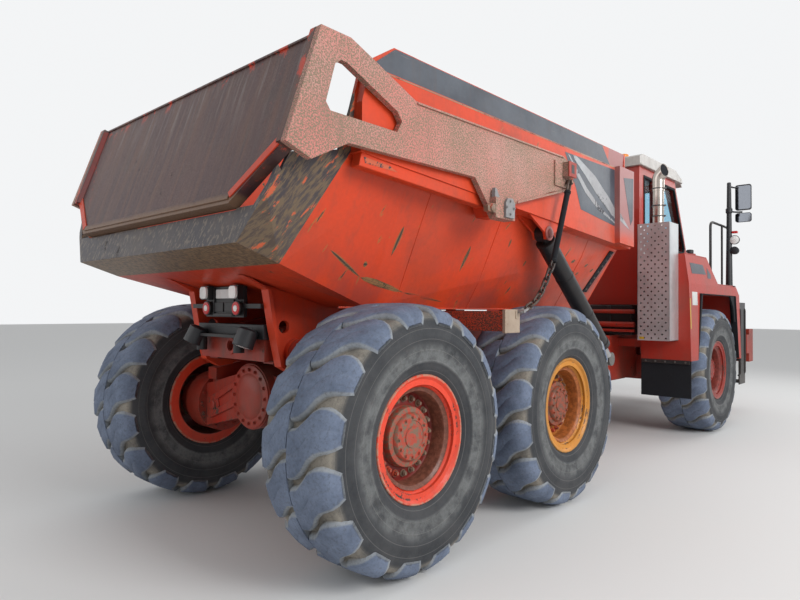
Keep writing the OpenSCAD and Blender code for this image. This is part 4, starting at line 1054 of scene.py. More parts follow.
def buildScars(shape):
    cores, borders = bmesh.new(), bmesh.new()
    for x0, share0, x1, share1, wide in shape["scars"]:
        scarInto(borders, x0, share0, x1, share1, wide * 1.7, 0.0006)
        scarInto(cores, x0, share0, x1, share1, wide * 0.8, 0.0012)
    dress("bed", [
        ("scarBorders", borders, scarOchre, "bed_panel_paint", 0),
        ("scarCores", cores, scarDark, "bed_panel_paint", 0)])


scarOchre = paintMaterial("scarOchre", (0.3, 0.15, 0.05), (0.46, 0.09, 0.035), bare=(0.1, 0.06, 0.03),
    chips=1.0, chipScale=45.0)
scarDark = paintMaterial("scarDark", (0.035, 0.028, 0.026), (0.08, 0.055, 0.035), bare=(0.16, 0.12, 0.06),
    chips=0.9, chipScale=50.0)
buildScars(bedShape)


def buildBedTrim(shape):
    rails, seams, ribs = bmesh.new(), bmesh.new(), bmesh.new()
    for side in (-1, 1):
        slabInto(rails, shape["kneeRail"], 1.255 * side, 1.325 * side)
        for x in shape["seams"]:
            pipeInto(seams, [mirrored(slopeSpot(x, share), side) for share in (0.0, 0.25, 0.5, 0.75, 1.0)],
                shape["seamRadius"], 8)
        floorEdge = [mirrored(slopeSpot(x, 0.0), side) for x in (-0.15, 3.25)]
        pipeInto(seams, floorEdge, shape["seamRadius"] * 1.4, 8)
        kneeEdge = [mirrored(slopeSpot(x, 1.0), side) for x in (1.35, 3.25)]
        pipeInto(seams, kneeEdge, shape["seamRadius"], 8)
    front = shape["frontX"]
    for y in shape["ribs"]:
        half = 0.045
        top, bottom = 3.05, 1.66 if abs(y) < 0.8 else 2.1
        slabInto(ribs, [(front - 0.002, bottom), (front + 0.045, bottom + 0.06),
            (front + 0.045, top - 0.06), (front - 0.002, top)], y - half, y + half)
    crossInto(ribs, [(-1.15, 2.3), (1.15, 2.3), (1.15, 2.39), (-1.15, 2.39)], front - 0.002, front + 0.035)
    dress("bed", [
        ("kneeRails", rails, bedSidePaint, "bed_panel_paint", 0.006),
        ("bedSeams", seams, bedSidePaint, "bed_panel_paint", 0),
        ("frontRibs", ribs, bedPaint, "bed_paint", 0.004)])


buildBedTrim(bedShape)


def buildRubberStrips(shape):
    strips, edges = bmesh.new(), bmesh.new()
    half = shape["stripWidth"] / 2
    (lowX, lowShare), (highX, highShare) = shape["rubberStrip"]
    for side in (-1, 1):
        for form, start, end, out in ((strips, -half, half, 0.012), (edges, half + 0.004, half + 0.045,
                0.007)):
            corners = [(lowX + start, lowShare), (lowX + end, lowShare), (highX + end, highShare),
                (highX + start, highShare)]
            prismInto(form, [place(*mirrored(slopeSpot(x, share, -0.004), side)) for x, share in corners],
                [place(*mirrored(slopeSpot(x, share, out), side)) for x, share in corners])
    dress("bed", [
        ("rubberStrips", strips, flapRubber, "bed_paint", 0.003),
        ("stripEdges", edges, postPaint, "bed_paint", 0.002)])
    for sideName, side in bothSides:
        first = Vector(mirrored(slopeSpot(lowX, lowShare + 0.05, 0.011), side))
        last = Vector(mirrored(slopeSpot(highX, highShare - 0.05, 0.011), side))
        count = 7
        away = Vector(mirrored(slopeSpot(lowX, 0.5, 1.0), side)) - Vector(mirrored(slopeSpot(lowX, 0.5),
            side))
        turn = Vector((0, 0, 1)).rotation_difference(away).to_euler()
        boltRow(f"stripBolts_{sideName}", smallBolt, first, (last - first) / (count - 1), turn, count,
            ironGrey, "bed")


buildRubberStrips(bedShape)

# Pin heads of the hoists, caps of the tailgate's pivots
pinShape = {"hoist": (1.66, 1.321, 2.18), "trunnion": (0.88, 1.4455, 2.27),
    "capOutline": [(0.828, 2.2), (0.938, 2.2), (0.945, 2.3), (0.915, 2.338), (0.85, 2.334), (0.828, 2.3)],
    "barOutline": [(0.64, 2.222), (0.822, 2.214), (0.822, 2.28), (0.7, 2.284), (0.64, 2.262)]}


def buildPinHeads(shape):
    heads, caps, bars = bmesh.new(), bmesh.new(), bmesh.new()
    for side in (-1, 1):
        x, y, z = shape["hoist"]
        turnedInto(heads, (x, (y - 0.002) * side, z), (0, side, 0), [(0, 0.058), (0.01, 0.058),
            (0.013, 0.054), (0.013, 0.036), (0.026, 0.034), (0.03, 0.028)], 32)
        x, y, z = shape["trunnion"]
        slabInto(caps, shape["capOutline"], (y - 0.012) * side, (y + 0.009) * side)
        slabInto(bars, shape["barOutline"], 1.394 * side, 1.434 * side)
        turnedInto(bars, (0.69, 1.432 * side, 2.246), (0, side, 0), [(0, 0.026), (0.01, 0.026),
            (0.013, 0.018)], 6)
    dress("bed", [
        ("hoistPinHeads", heads, postPaint, "bed_paint", 0),
        ("pivotCaps", caps, shackleGrey, "bed_paint", 0.003),
        ("pivotBars", bars, rustCap, "bed_paint", 0.003)])
    x, y, z = shape["trunnion"]
    boltRings("pivotCapBolts", smallBolt, (x, y + 0.009, z), 0.045, 4, shackleGrey, "bed")


buildPinHeads(pinShape)

# Tailgate: chamfers along its posts, lips and wear bars
postRed = paintMaterial("postRed", (0.26, 0.028, 0.022), (0.16, 0.03, 0.03), bare=(0.05, 0.035, 0.04),
    chips=1.1, chipScale=20.0, scratches=0.5, grime=0.6)
gateTrim = {"faceY": 1.3, "postOut": 0.029, "low": 0.02, "high": 0.655, "lowY": 0.97, "knee": 0.01}


def gateSpot(inward, across, up):
    lean = math.radians(gateLook["lean"])
    x, _, z = gateLook["hinge"]
    ahead = inward * math.cos(lean) + up * math.sin(lean)
    return place(x + ahead, across, z - inward * math.sin(lean) + up * math.cos(lean))


def gateBar(form, corners, low, high):  # corners: inward, across
    prismInto(form, [gateSpot(inward, across, low) for inward, across in corners],
        [gateSpot(inward, across, high) for inward, across in corners])


def buildGateTrim(shape):
    chamfers, strips, bars = bmesh.new(), bmesh.new(), bmesh.new()
    face, out = shape["faceY"], shape["postOut"]
    for side in (-1, 1):
        gateBar(chamfers, [(0.002, (face + 0.002) * side), (-out, (face + 0.002) * side),
            (-0.004, (face - 0.036) * side), (0.002, (face - 0.036) * side)], shape["low"],
            shape["high"] - 0.012)
        # strip along the cut corner: its outline is given as across, along
        corner = [(0.985, gateLook["bottom"] + 0.03), (1.299, shape["knee"] + 0.004),
            (1.299, shape["knee"] + 0.075), (0.955, gateLook["bottom"] + 0.062)]
        prismInto(strips, [gateSpot(0.002, across * side, up) for across, up in corner],
            [gateSpot(-0.008, across * side, up) for across, up in corner])
    gateBar(bars, [(-0.01, -face), (0.066, -face), (0.066, face), (-0.01, face)], shape["high"] - 0.012,
        shape["high"] + 0.004)
    gateBar(bars, [(-0.007, -shape["lowY"]), (0.002, -shape["lowY"]), (0.002, shape["lowY"]),
        (-0.007, shape["lowY"])], gateLook["bottom"] + 0.022, gateLook["bottom"] + 0.06)
    for y in (-0.66, 0.0, 0.66):  # ribs on the inner face
        gateBar(bars, [(0.064, y - 0.05), (0.095, y - 0.03), (0.095, y + 0.03), (0.064, y + 0.05)], -0.2,
            0.6)
    dress("tailgate", [
        ("gateChamfers", chamfers, postRed, "gate_steel", 0.002),
        ("gateStrips", strips, bedPaint, "gate_steel", 0.003),
        ("gateBars", bars, gateSteel, "gate_steel", 0.003)])


buildGateTrim(gateTrim)

# Arms: horns, brackets and edge strips
armShape = {
    "outerY": 1.385, "horn": [(0.735, 2.325), (0.8, 2.325), (0.762, 2.385), (0.738, 2.395)],
    "bracketFace": [(1.735, 2.635), (1.865, 2.635), (1.865, 2.76), (1.735, 2.76)],
    "bracketSlot": [(1.775, 2.665), (1.825, 2.665), (1.825, 2.735), (1.775, 2.735)],
    "lowerEdge": [(1.075, 2.333), (1.895, 2.553), (1.895, 2.572), (1.075, 2.352)],
    "upperEdge": [(-0.03, 2.772), (1.77, 2.797), (1.77, 2.81), (-0.03, 2.785)],
}


def buildArmTrim(shape):
    horns, faces, slotShades, edges = bmesh.new(), bmesh.new(), bmesh.new(), bmesh.new()
    outer = shape["outerY"]
    for side in (-1, 1):
        slabInto(horns, shape["horn"], (outer + 0.012) * side, (outer + 0.04) * side)
        slabInto(faces, shape["bracketFace"], (outer + 0.064) * side, (outer + 0.074) * side)
        # a black skin on the bracket face is painted shade inside its slot
        slabInto(slotShades, shape["bracketSlot"], (outer + 0.07) * side, (outer + 0.0748) * side)
        for outline in (shape["lowerEdge"], shape["upperEdge"]):
            slabInto(edges, outline, (outer - 0.001) * side, (outer + 0.01) * side)
    dress("tailgate", [
        ("armHorns", horns, shackleGrey, "arm_paint", 0.003),
        ("bracketFaces", faces, chassisPaint, "arm_paint", 0.004),
        ("bracketSlots", slotShades, blackPaint, "arm_paint", 0),
        ("armEdges", edges, armPaint, "arm_paint", 0.003)])


buildArmTrim(armShape)

# Chains of the tailgate: sleeve, links and shackle
chainShape = {
    "y": 1.43, "top": (1.8, 2.6), "sleeve": ((1.768, 2.524), (1.533, 1.935)), "sleeveRadius": 0.0255,
    "route": [(1.533, 1.935), (1.49, 1.88), (1.445, 1.822), (1.403, 1.763), (1.357, 1.708), (1.306, 1.658),
        (1.245, 1.62), (1.178, 1.59), (1.112, 1.566)],
    "pitch": 0.063, "rod": 0.0085, "halfWidth": 0.0195, "halfLength": 0.0265,
}


def loopInto(form, centre, along, across, halfLength, halfWidth, rod, sides=8, steps=7):
    rings = []
    normal = along.cross(across)
    for end in (1, -1):
        for step in range(steps):
            turn = -math.pi / 2 + math.pi * step / (steps - 1)
            way = along * (math.cos(turn) * end) + across * (math.sin(turn) * end)
            spot = centre + along * (halfLength * end) + way * halfWidth
            rings.append([spot + (way * math.cos(around) + normal * math.sin(around)) * rod
                for around in turnsOf(sides)])
    ringsInto(form, rings, closed=True)


def buildChains(shape):
    link = bmesh.new()
    loopInto(link, Vector((0, 0, 0)), Vector((1, 0, 0)), Vector((0, 0, 1)), shape["halfLength"],
        shape["halfWidth"], shape["rod"])
    pattern = patternObject("chainLink", link, 60)
    data = bpy.data.curves.new("chainRoute", "CURVE")
    data.dimensions = "3D"
    for side in (-1, 1):
        spline = data.splines.new("POLY")
        spline.points.add(len(shape["route"]) - 1)
        for point, (x, z) in zip(spline.points, shape["route"]):
            point.co = (*place(x, shape["y"] * side, z), 1.0)
    route = inScene("chainRoute", data)
    patterns.append(route)
    mesh = grownMesh("chainLinks", chainTree, {"Route": route, "Link": pattern, "Pitch": shape["pitch"],
        "Finish": chainIron})
    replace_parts(newPiece("chainLinks", mesh, chainIron, "gate_chains"), "gate_chains")
    sleeves, loops, shackles = bmesh.new(), bmesh.new(), bmesh.new()
    (topX, topZ), (lowX, lowZ) = shape["sleeve"]
    run = Vector((lowX - topX, 0, lowZ - topZ))
    length, radius = run.length, shape["sleeveRadius"]
    for side in (-1, 1):
        y = shape["y"] * side
        turnedInto(sleeves, (topX, y, topZ), run, [(0, radius * 0.8), (0.004, radius + 0.0015),
            (0.022, radius + 0.0015), (0.026, radius - 0.003), (length - 0.026, radius - 0.003),
            (length - 0.022, radius + 0.0015), (length - 0.004, radius + 0.0015), (length, radius * 0.8)],
            20)
        away = Vector((topX - shape["top"][0], 0, topZ - shape["top"][1])).normalized()
        loopInto(loops, place(shape["top"][0], y, shape["top"][1]) + away * 0.042, away,
            away.cross(Vector((0, 1, 0))), 0.03, 0.02, 0.01)
        turnedInto(loops, (shape["top"][0], y - 0.027 * side, shape["top"][1]), (0, side, 0),
            [(0, 0.019), (0.004, 0.022), (0.05, 0.022), (0.054, 0.019)], 6)
        endX, endZ = shape["route"][-1]
        loopInto(shackles, place(endX - 0.012, y, endZ - 0.004), Vector((0.94, 0, 0.33)), Vector((0, 1, 0)),
            0.022, 0.019, 0.0095)
        pinInto(shackles, (endX - 0.04, y - 0.028, endZ - 0.012), (0, 1, 0), 0.056, 0.013, 12)
    dress("gate_chains", [
        ("chainSleeves", sleeves, flapRubber, "chain_steel", 0),
        ("topLinks", loops, chainIron, "chain_steel", 0),
        ("shackles", shackles, shackleGrey, "chain_steel", 0)])


buildChains(chainShape)

# Hoists: gland nuts, collars and the steel oil pipe along each barrel
hoistShape = {"top": (1.66, 2.18), "low": (2.95, 1.1), "y": 1.255, "barrel": 1.462, "radius": 0.0775}


def buildHoistTrim(shape):
    black, pipes, eyes = bmesh.new(), bmesh.new(), bmesh.new()
    run = Vector((shape["low"][0] - shape["top"][0], 0, shape["low"][1] - shape["top"][1]))
    run.normalize()
    up = Vector((-run.z, 0, run.x))
    for side in (-1, 1):
        start = Vector((shape["top"][0], shape["y"] * side, shape["top"][1]))
        radius = shape["radius"]
        for reach, wide, extra in ((0.08, 0.03, 0.004), (0.5, 0.018, 0.003), (1.0, 0.018, 0.003),
                (shape["barrel"] - 0.05, 0.05, 0.006)):
            turnedInto(black, start + run * reach, run, [(0, radius - 0.012), (0.002, radius + extra),
                (wide - 0.002, radius + extra), (wide, radius - 0.012)], 32)
        pipeRoute = [(0.15, radius - 0.02), (0.15, radius + 0.022), (1.15, radius + 0.022),
            (1.15, radius - 0.02)]
        pipeInto(pipes, [start + run * reach + up * out for reach, out in pipeRoute], 0.009, 10)
        turnedInto(eyes, Vector((shape["low"][0], (shape["y"] - 0.05) * side, shape["low"][1])),
            (0, side, 0), [(0, 0.04), (0.004, 0.064), (0.084, 0.064), (0.088, 0.05)], 32)
    dress("hoist_barrels", [
        ("hoistCollars", black, blackPaint, "cylinder_paint", 0),
        ("hoistPipes", pipes, ironGrey, "cylinder_paint", 0)])
    newPiece("rodEyes", eyes, ironGrey, "hoist_rods")


buildHoistTrim(hoistShape)
print("bed, tailgate, chains and hoists dressed")


# Tail: lamps, plate, can lamps, tow ring, pin bolts
tailShape = {"lampX": -0.5, "lampY": (0.146, 0.229), "lampZ": (1.626, 1.709)}


def roundedOutline(low, high, radius, steps=5):
    corners = ((high[0] - radius, high[1] - radius, 0), (low[0] + radius, high[1] - radius, 1),
        (low[0] + radius, low[1] + radius, 2), (high[0] - radius, low[1] + radius, 3))
    return [(x + radius * math.cos((quarter + step / steps) * math.pi / 2),
        y + radius * math.sin((quarter + step / steps) * math.pi / 2)) for x, y,
        quarter in corners for step in range(steps + 1)]


def buildTail(shape):
    lenses, reds, whites, dark, cans, plate, light, ring = (bmesh.new() for _ in range(8))
    lampX, (y0, y1), (z0, z1) = shape["lampX"], shape["lampY"], shape["lampZ"]
    for side in (-1, 1):
        outline = roundedOutline((y0, z0), (y1, z1), 0.022)
        crossInto(lenses, [(y * side, z) for y, z in outline], lampX - 0.016, lampX + 0.001)
        middle = ((y0 + y1) / 2 * side, (z0 + z1) / 2)
        turnedInto(lenses, (lampX - 0.0175, middle[0], middle[1]), (1, 0, 0),
            [(0, 0.01), (0.001, 0.022), (0.004, 0.024)], 24)
        turnedInto(dark, (-0.486, 0.19 * side, 1.56), (1, 0, 0), [(0, 0.04), (0.002, 0.051), (0.014, 0.051),
            (0.016, 0.044)], 28)
        turnedInto(reds, (-0.49, 0.19 * side, 1.56), (1, 0, 0), [(0, 0.02), (0.001, 0.043), (0.008, 0.045)],
            28)
        turnedInto(whites, (-0.494, 0.19 * side, 1.56), (1, 0, 0), [(0, 0.01), (0.001, 0.02),
            (0.005, 0.022)], 24)
        boxInto(dark, (-0.462, 0.01 * side, 1.535), (-0.454, 0.12 * side, 1.6))
    for y in (-0.125, 0.125):
        boxInto(dark, (-0.466, y - 0.006, 1.505), (-0.454, y + 0.006, 1.702))
    boxInto(dark, (-0.47, -0.118, 1.505), (-0.455, 0.118, 1.524))
    crossInto(plate, roundedOutline((-0.105, 1.628), (0.105, 1.69), 0.008), -0.46, -0.4545)
    # work lamps like cans beside the tow hole, lens at the lower end
    for y, lean in ((-0.325, 0.1), (0.3, 0.28)):
        axis = Vector((-0.35, lean, -1)).normalized()
        top = Vector((-0.47, y, 1.425))
        turnedInto(cans, top, axis, [(0, 0.05), (0.012, 0.066), (0.118, 0.069), (0.124, 0.069),
            (0.124, 0.06)], 36)
        turnedInto(light, top + axis * 0.119, axis, [(0, 0.059), (0.002, 0.0595), (0.007, 0.04),
            (0.009, 0.014)], 32)
        boxInto(cans, (-0.462, y - 0.02, 1.372), (-0.41, y + 0.02, 1.412))
    boxInto(cans, (-0.4235, -0.42, 1.356), (-0.316, 0.4, 1.4525))
    boxInto(cans, (-0.4265, -0.3, 1.385), (-0.4215, 0.22, 1.432))
    turnedInto(ring, (-0.409, 0, 1.3), (1, 0, 0), [(0, 0.038), (0, 0.06), (0.01, 0.062), (0.01, 0.038)], 36,
        closed=True)
    dress("bed", [
        ("tailLenses", lenses, lampGlass, "lamp_glass", 0.004),
        ("redLamps", reds, redLens, "lamp_glass", 0)])
    newPiece("workLamps", cans, darkPlastic, "rear_frame", bevel=0.003)
    dress("bed", [
        ("lampCentres", whites, lampGlass, "lamp_glass", 0),
        ("tailFittings", dark, blackPaint, "tail_lamp_black", 0.002),
        ("blankPlate", plate, platePaint, "roof_white", 0.001)])
    dress("rear_frame", [
        ("workLenses", light, lampGlass, "lamp_glass", 0),
        ("towRing", ring, chassisPaint, "chassis_paint", 0.002)])
    boltRings("hingeCapBolts", hubBolt, (-0.2, 0.53, 1.27), 0.055, 3, shackleGrey, "rear_frame")
    boltRings("bogiePinBolts", hubBolt, (middleAxle / 2 - rearAxle / 2, 0.782, 1.09), 0.062, 6,
        chassisPaint, "rear_frame")


buildTail(tailShape)

# Axles: raised webs, bolted covers, flange bolts, brake cylinders
axleShape = {
    "web": [(0.255, 0.835), (0.64, 0.69), (0.64, 0.86), (0.255, 1.035)],
    "webHole": [(0.3, 0.88), (0.56, 0.77), (0.56, 0.84), (0.3, 0.965)],
    "faceX": 0.17, "coverY": 0.6, "flangeY": 0.72,
}


def buildAxleTrim(shape):
    webs, covers, brakes, markers = (bmesh.new() for _ in range(4))
    for axle in (0.0, (middleAxle - rearAxle)):
        for way in (-1, 1):
            for side in (-1, 1):
                face = axle + shape["faceX"] * way
                corners = [(y * side, z) for y, z in shape["web"]]
                inner = [(y * side, z) for y, z in shape["webHole"]]
                for i in range(4):
                    j = (i + 1) % 4
                    crossInto(webs, [corners[i], corners[j], inner[j], inner[i]], face - 0.002 * way,
                        face + 0.016 * way)
                turnedInto(covers, (face, shape["coverY"] * side, 0.8), (way, 0, 0),
                    [(-0.002, 0.075), (0.008, 0.075), (0.012, 0.07), (0.012, 0.04), (0.024, 0.036),
                    (0.028, 0.028)], 32)
        for way in (-1, 1):
            turnedInto(covers, (axle + 0.235 * way, 0, 0.93), (way, 0, 0),
                [(-0.004, 0.228), (0.01, 0.226), (0.014, 0.22), (0.014, 0.165), (0.034, 0.14),
                (0.044, 0.085), (0.046, 0.05)], 48)
        for side in (-1, 1):
            turnedInto(brakes, (axle + 0.165, 0.47 * side, 0.905), (1, 0, 0),
                [(0, 0.045), (0.02, 0.07), (0.07, 0.072), (0.074, 0.08), (0.086, 0.08), (0.09, 0.072),
                (0.15, 0.068), (0.165, 0.04)], 28)
    boltRing("coverBolts_rear", hubBolt, (-0.248, 0.0, 0.93), towardsBack, 0.192, 16, chassisPaint,
        "rear_frame")
    boxInto(markers, (-0.186, -0.3, 0.995), (-0.176, -0.262, 1.02))
    dress("rear_frame", [
        ("axleWebs", webs, chassisPaint, "chassis_paint", 0.004),
        ("axleCovers", covers, chassisPaint, "chassis_paint", 0),
        ("brakeCylinders", brakes, blackPaint, "black_box", 0),
        ("axleReflector", markers, redLens, "lamp_glass", 0.002)])
    for end, axle, body in (("rear", 0.0, "rear_frame"), ("middle", middleAxle - rearAxle, "rear_frame"),
            ("front", frontAxle - rearAxle, "front_frame")):
        boltRings(f"flangeBolts_{end}", hubBolt, (axle, shape["flangeY"], wheelZ), 0.215, 16, chassisPaint,
            body, inward=True)


buildAxleTrim(axleShape)


# Rear chassis: pipes along the rails, torque rods, rail flanges, end plates
frameTrim = {
    "pipeY": 0.412, "pipes": ((1.445, 0.012), (1.41, 0.009)),  # height and radius
    "clampX": (0.6, 1.5, 2.4), "rodEnds": ((0.1, 0.62), (1.72, 1.2)), "rodY": 0.235,
    "rodZ": (1.12, 1.25), "flangeY": (0.28, 0.42),
    "flanges": ((3.08, 1.5, 1.512), (2.75, 1.112, 1.122)),  # front end, underside and top
}


def buildFrameTrim(shape):
    pipes, rods, plates, ends = (bmesh.new() for _ in range(4))
    pipeY, (lowRod, highRod), (y0, y1) = shape["pipeY"], shape["rodZ"], shape["flangeY"]
    for side in (-1, 1):
        for lift, radius in shape["pipes"]:
            route = [(0.3, lift), (2.95, lift), (3.45, lift - 0.23)]
            pipeInto(pipes, [(x, pipeY * side, z) for x, z in route], radius)
        for x in shape["clampX"]:
            boxInto(plates, (x, 0.398 * side, 1.39), (x + 0.05, 0.43 * side, 1.465))
        for x0, x1 in shape["rodEnds"]:
            eyes = ((x0, lowRod), (x1, highRod))
            pipeInto(rods, [(x, shape["rodY"] * side, z) for x, z in eyes], 0.03, 16)
            for x, z in eyes:
                pinInto(rods, (x, 0.19 * side, z), (0, side, 0), 0.09, 0.052)
        for x1, z0, z1 in shape["flanges"]:
            slabInto(plates, [(0.2, z0), (x1, z0), (x1, z1), (0.2, z1)], y0 * side, y1 * side)
        crossInto(ends, [(y * side, z) for y, z in roundedOutline((1.374, 1.398), (1.398, 1.567), 0.004,
            2)], 0.908, 1.102)
        boxInto(ends, (1.04, 1.392 * side, 1.5), (1.075, 1.404 * side, 1.56))
    dress("rear_frame", [
        ("framePipes", pipes, ironGrey, "cylinder_paint", 0),
        ("torqueRods", rods, chassisPaint, "chassis_paint", 0),
        ("railFlanges", plates, chassisPaint, "chassis_paint", 0.002),
        ("anchorPlates", ends, anchorBeige, "chassis_paint", 0.002)])


buildFrameTrim(frameTrim)
print("tail, axles and rear chassis dressed")


# Exhaust: perforated guard sheet with side plates, elbow on the pipe, clamps
guardShape = {
    "x": 4.5, "back": 4.8, "y0": -1.3, "y1": -0.93, "z0": 1.22, "z1": 2.6, "thick": 0.005,
    "columns": 4, "rows": 30, "wide": 0.082, "high": 0.0455, "hole": 0.0105, "holeSides": 10,
    "pipe": (4.665, -1.115), "pipeRadius": 0.0665, "elbowStart": 2.995, "bendStart": 3.12,
    "bendRadius": 0.12, "bendAngle": 44.0, "mouthReach": 0.055,
}


def sheetTile(name, wide, high, thick, hole, sides):  # a tile round a hole, its outline split at mid-width
    form = bmesh.new()
    outline = [(0, 0), (wide / 2, 0), (wide, 0), (wide, high), (wide / 2, high), (0, high)]
    faces = []
    for x in (0, thick):
        outer = [form.verts.new((x, y, z)) for y, z in outline]
        inner = [form.verts.new((x, wide / 2 + hole * math.cos(turn), high / 2 + hole * math.sin(turn)))
            for turn in turnsOf(sides)]
        edges = [form.edges.new(pair) for ring in (outer, inner) for pair in zip(ring, ring[1:] + ring[:1])]
        filled = bmesh.ops.triangle_fill(form, use_beauty=True, edges=edges)["geom"]
        patches = [face for face in filled if isinstance(face, bmesh.types.BMFace)]
        bmesh.ops.recalc_face_normals(form, faces=patches)
        wanted = -1 if x == 0 else 1
        for face in patches:
            if face.normal.x * wanted < 0:
                face.normal_flip()
        faces.append(inner)
    front, back = faces
    for i in range(sides):
        j = (i + 1) % sides
        form.faces.new((front[i], front[j], back[j], back[i]))
    return patternObject(name, form, 30)


def buildGuard(shape):
    tile = sheetTile("guardTile", shape["wide"], shape["high"], shape["thick"], shape["hole"],
        shape["holeSides"])
    halfForm = bmesh.new()
    half = shape["wide"] / 2
    foot = [(0, 0), (shape["thick"], 0), (shape["thick"], half), (0, half)]
    prismInto(halfForm, [(x, y, 0) for x, y in foot], [(x, y, shape["high"]) for x, y in foot])
    halfTile = patternObject("guardHalfTile", halfForm, 30)
    span = shape["wide"] * (shape["columns"] + 0.5)
    startY = (shape["y0"] + shape["y1"] - span) / 2
    startZ = (shape["z0"] + shape["z1"] - shape["rows"] * shape["high"]) / 2
    grown = [grownMesh("guardSheet", sheetTree, {"Tile": tile, "Columns": shape["columns"],
        "Rows": shape["rows"], "Wide": shape["wide"], "High": shape["high"],
        "Corner": place(shape["x"], startY, startZ), "Finish": guardZinc})]
    for first, y in ((1, startY), (0, startY + shape["wide"] * shape["columns"])):
        grown.append(grownMesh("guardEdge", rowTree, {"Part": halfTile, "Count": shape["rows"] // 2,
            "Start": place(shape["x"], y, startZ + first * shape["high"]),
            "Step": Vector((0, 0, 2 * shape["high"])), "Turn": Vector((0, 0, 0)), "Finish": guardZinc}))
    form = bmesh.new()
    for mesh in grown:
        form.from_mesh(mesh)
        bpy.data.meshes.remove(mesh)
    bmesh.ops.remove_doubles(form, verts=form.verts, dist=0.0002)
    x, back, y0, y1, z0, z1, thick = (shape[key] for key in ("x", "back", "y0", "y1", "z0", "z1", "thick"))
    lip = 0.006
    boxInto(form, (x, y0, z0), (back, y0 + thick, z1))
    boxInto(form, (x, y1 - thick, z0), (back, y1, z1))
    boxInto(form, (x, y0, z0), (back, y1, z0 + thick))
    boxInto(form, (x - 0.0005, y0 + 0.001, z1 - lip), (x + 0.018, y1 - 0.001, z1))
    boxInto(form, (x - 0.0005, y0 + 0.001, z0 + 0.001), (x + 0.006, y1 - 0.001, z0 + 0.01))
    boxInto(form, (back - 0.02, y0 - 0.0005, z0), (back, y0 + 0.012, z1))
    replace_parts(newPiece("exhaustGuard", form, guardZinc, "front_frame", smooth=30),
        "exhaust_guard")


def buildElbow(shape):
    form, bands = bmesh.new(), bmesh.new()
    x, y = shape["pipe"]
    angle, bend = math.radians(shape["bendAngle"]), shape["bendRadius"]
    centres = [(0.0, shape["elbowStart"], 0.0), (0.0, shape["bendStart"], 0.0)]
    steps = 9
    for step in range(1, steps + 1):
        turn = angle * step / steps
        centres.append((bend * (1 - math.cos(turn)), shape["bendStart"] + bend * math.sin(turn), turn))
    side, height, turn = centres[-1]
    reach = shape["mouthReach"]
    centres.append((side + reach * math.sin(turn), height + reach * math.cos(turn), turn))
    sides = 36

    def ring(centre, radius, cut=None):
        out, up, lean = centre
        spots = []
        for around in turnsOf(sides):
            inwards = -math.cos(around)
            across = Vector((math.sin(around), inwards * math.cos(lean), inwards * math.sin(lean)))
            spot = place(x, y - out, up) + across * radius
            if cut is not None:  # slide along the pipe to the slanted plane of the mouth
                along = Vector((0, -math.sin(lean), math.cos(lean)))
                spot += along * ((cut - spot).dot(mouthNormal) / along.dot(mouthNormal))
            spots.append(spot)
        return spots

    mouthNormal = Vector((-0.32, -0.92, 0.25)).normalized()
    end = centres[-1]
    cutSpot = place(x, y - end[0], end[1])
    outer, inner = shape["pipeRadius"] + 0.004, shape["pipeRadius"] - 0.001
    rings = [ring(centre, outer) for centre in centres[:-2]] + [ring(centres[-2], outer, cutSpot)]
    rings += [ring(centres[-2], inner, cutSpot)] + [ring(centre, inner) for centre in centres[-3::-1]]
    ringsInto(form, rings, closed=True)
    newPiece("exhaustElbow", form, pipeChromeWithPaintedReflection, "front_frame", smooth=40)
    # near-black lining inside the pipe: soot, and painted shade deep in the pipe
    sootAndShade = bmesh.new()
    mouth = ring(centres[-2], inner - 0.0012, cutSpot - mouthNormal * 0.004)
    deep = [ring(centre, inner - 0.0012) for centre in centres[-4::-1]]
    floor = [spot + Vector((0, 0, 0.004)) for spot in ring(centres[0], inner - 0.004)]
    ringsInto(sootAndShade, [mouth] + deep + [floor])
    newPiece("exhaustSoot", sootAndShade, flapRubber, "front_frame", smooth=40)
    for z in (2.69, 2.815, 3.02):
        turnedInto(bands, (x, y, z), (0, 0, 1), [(0, 0.0652), (0, 0.073), (0.014, 0.073), (0.014, 0.0652)],
            36, closed=True)
        boxInto(bands, (x - 0.012, y - 0.09, z), (x + 0.012, y - 0.07, z + 0.014))
    newPiece("exhaustClamps", bands, ironGrey, "front_frame", bevel=0.001)


buildGuard(guardShape)
buildElbow(guardShape)


# Cab: rubber round the panes, wipers, handle, roof lip, beacon, rails
cabShape = {
    "side": 0.8, "sealOut": 0.01, "sealWide": 0.022,
    "rearWindow": [(5.06, 2.42), (5.06, 3.28), (5.4, 3.28), (5.4, 2.42)],
    "frontWindow": [(5.52, 2.42), (5.52, 3.28), (6.17, 3.28), (6.59, 2.48), (6.56, 2.42)],
    "doorWindow": [(5.59, 2.3), (5.59, 3.25), (6.13, 3.25), (6.54, 2.46), (6.54, 2.3)],
    "screen": ((6.2, 3.4), (6.7, 2.44)), "screenTopHalf": 0.65,
    "beacon": (5.15, -0.5, 3.55), "roofHalf": 0.83,
}


def grownOutline(outline, out):  # moves a convex outline outwards
    middle = Vector((sum(p[0] for p in outline), sum(p[1] for p in outline))) / len(outline)
    lines = []
    for first, second in zip(outline, outline[1:] + outline[:1]):
        run = Vector(second) - Vector(first)
        away = Vector((run.y, -run.x)).normalized()
        if away.dot(Vector(first) - middle) < 0:
            away.negate()
        lines.append((Vector(first) + away * out, run))
    corners = []
    for (start, run), (other, otherRun) in zip([lines[-1]] + lines[:-1], lines):
        cross = run.x * otherRun.y - run.y * otherRun.x
        reach = ((other.x - start.x) * otherRun.y - (other.y - start.y) * otherRun.x) / cross
        corners.append(tuple(start + run * reach))
    return corners


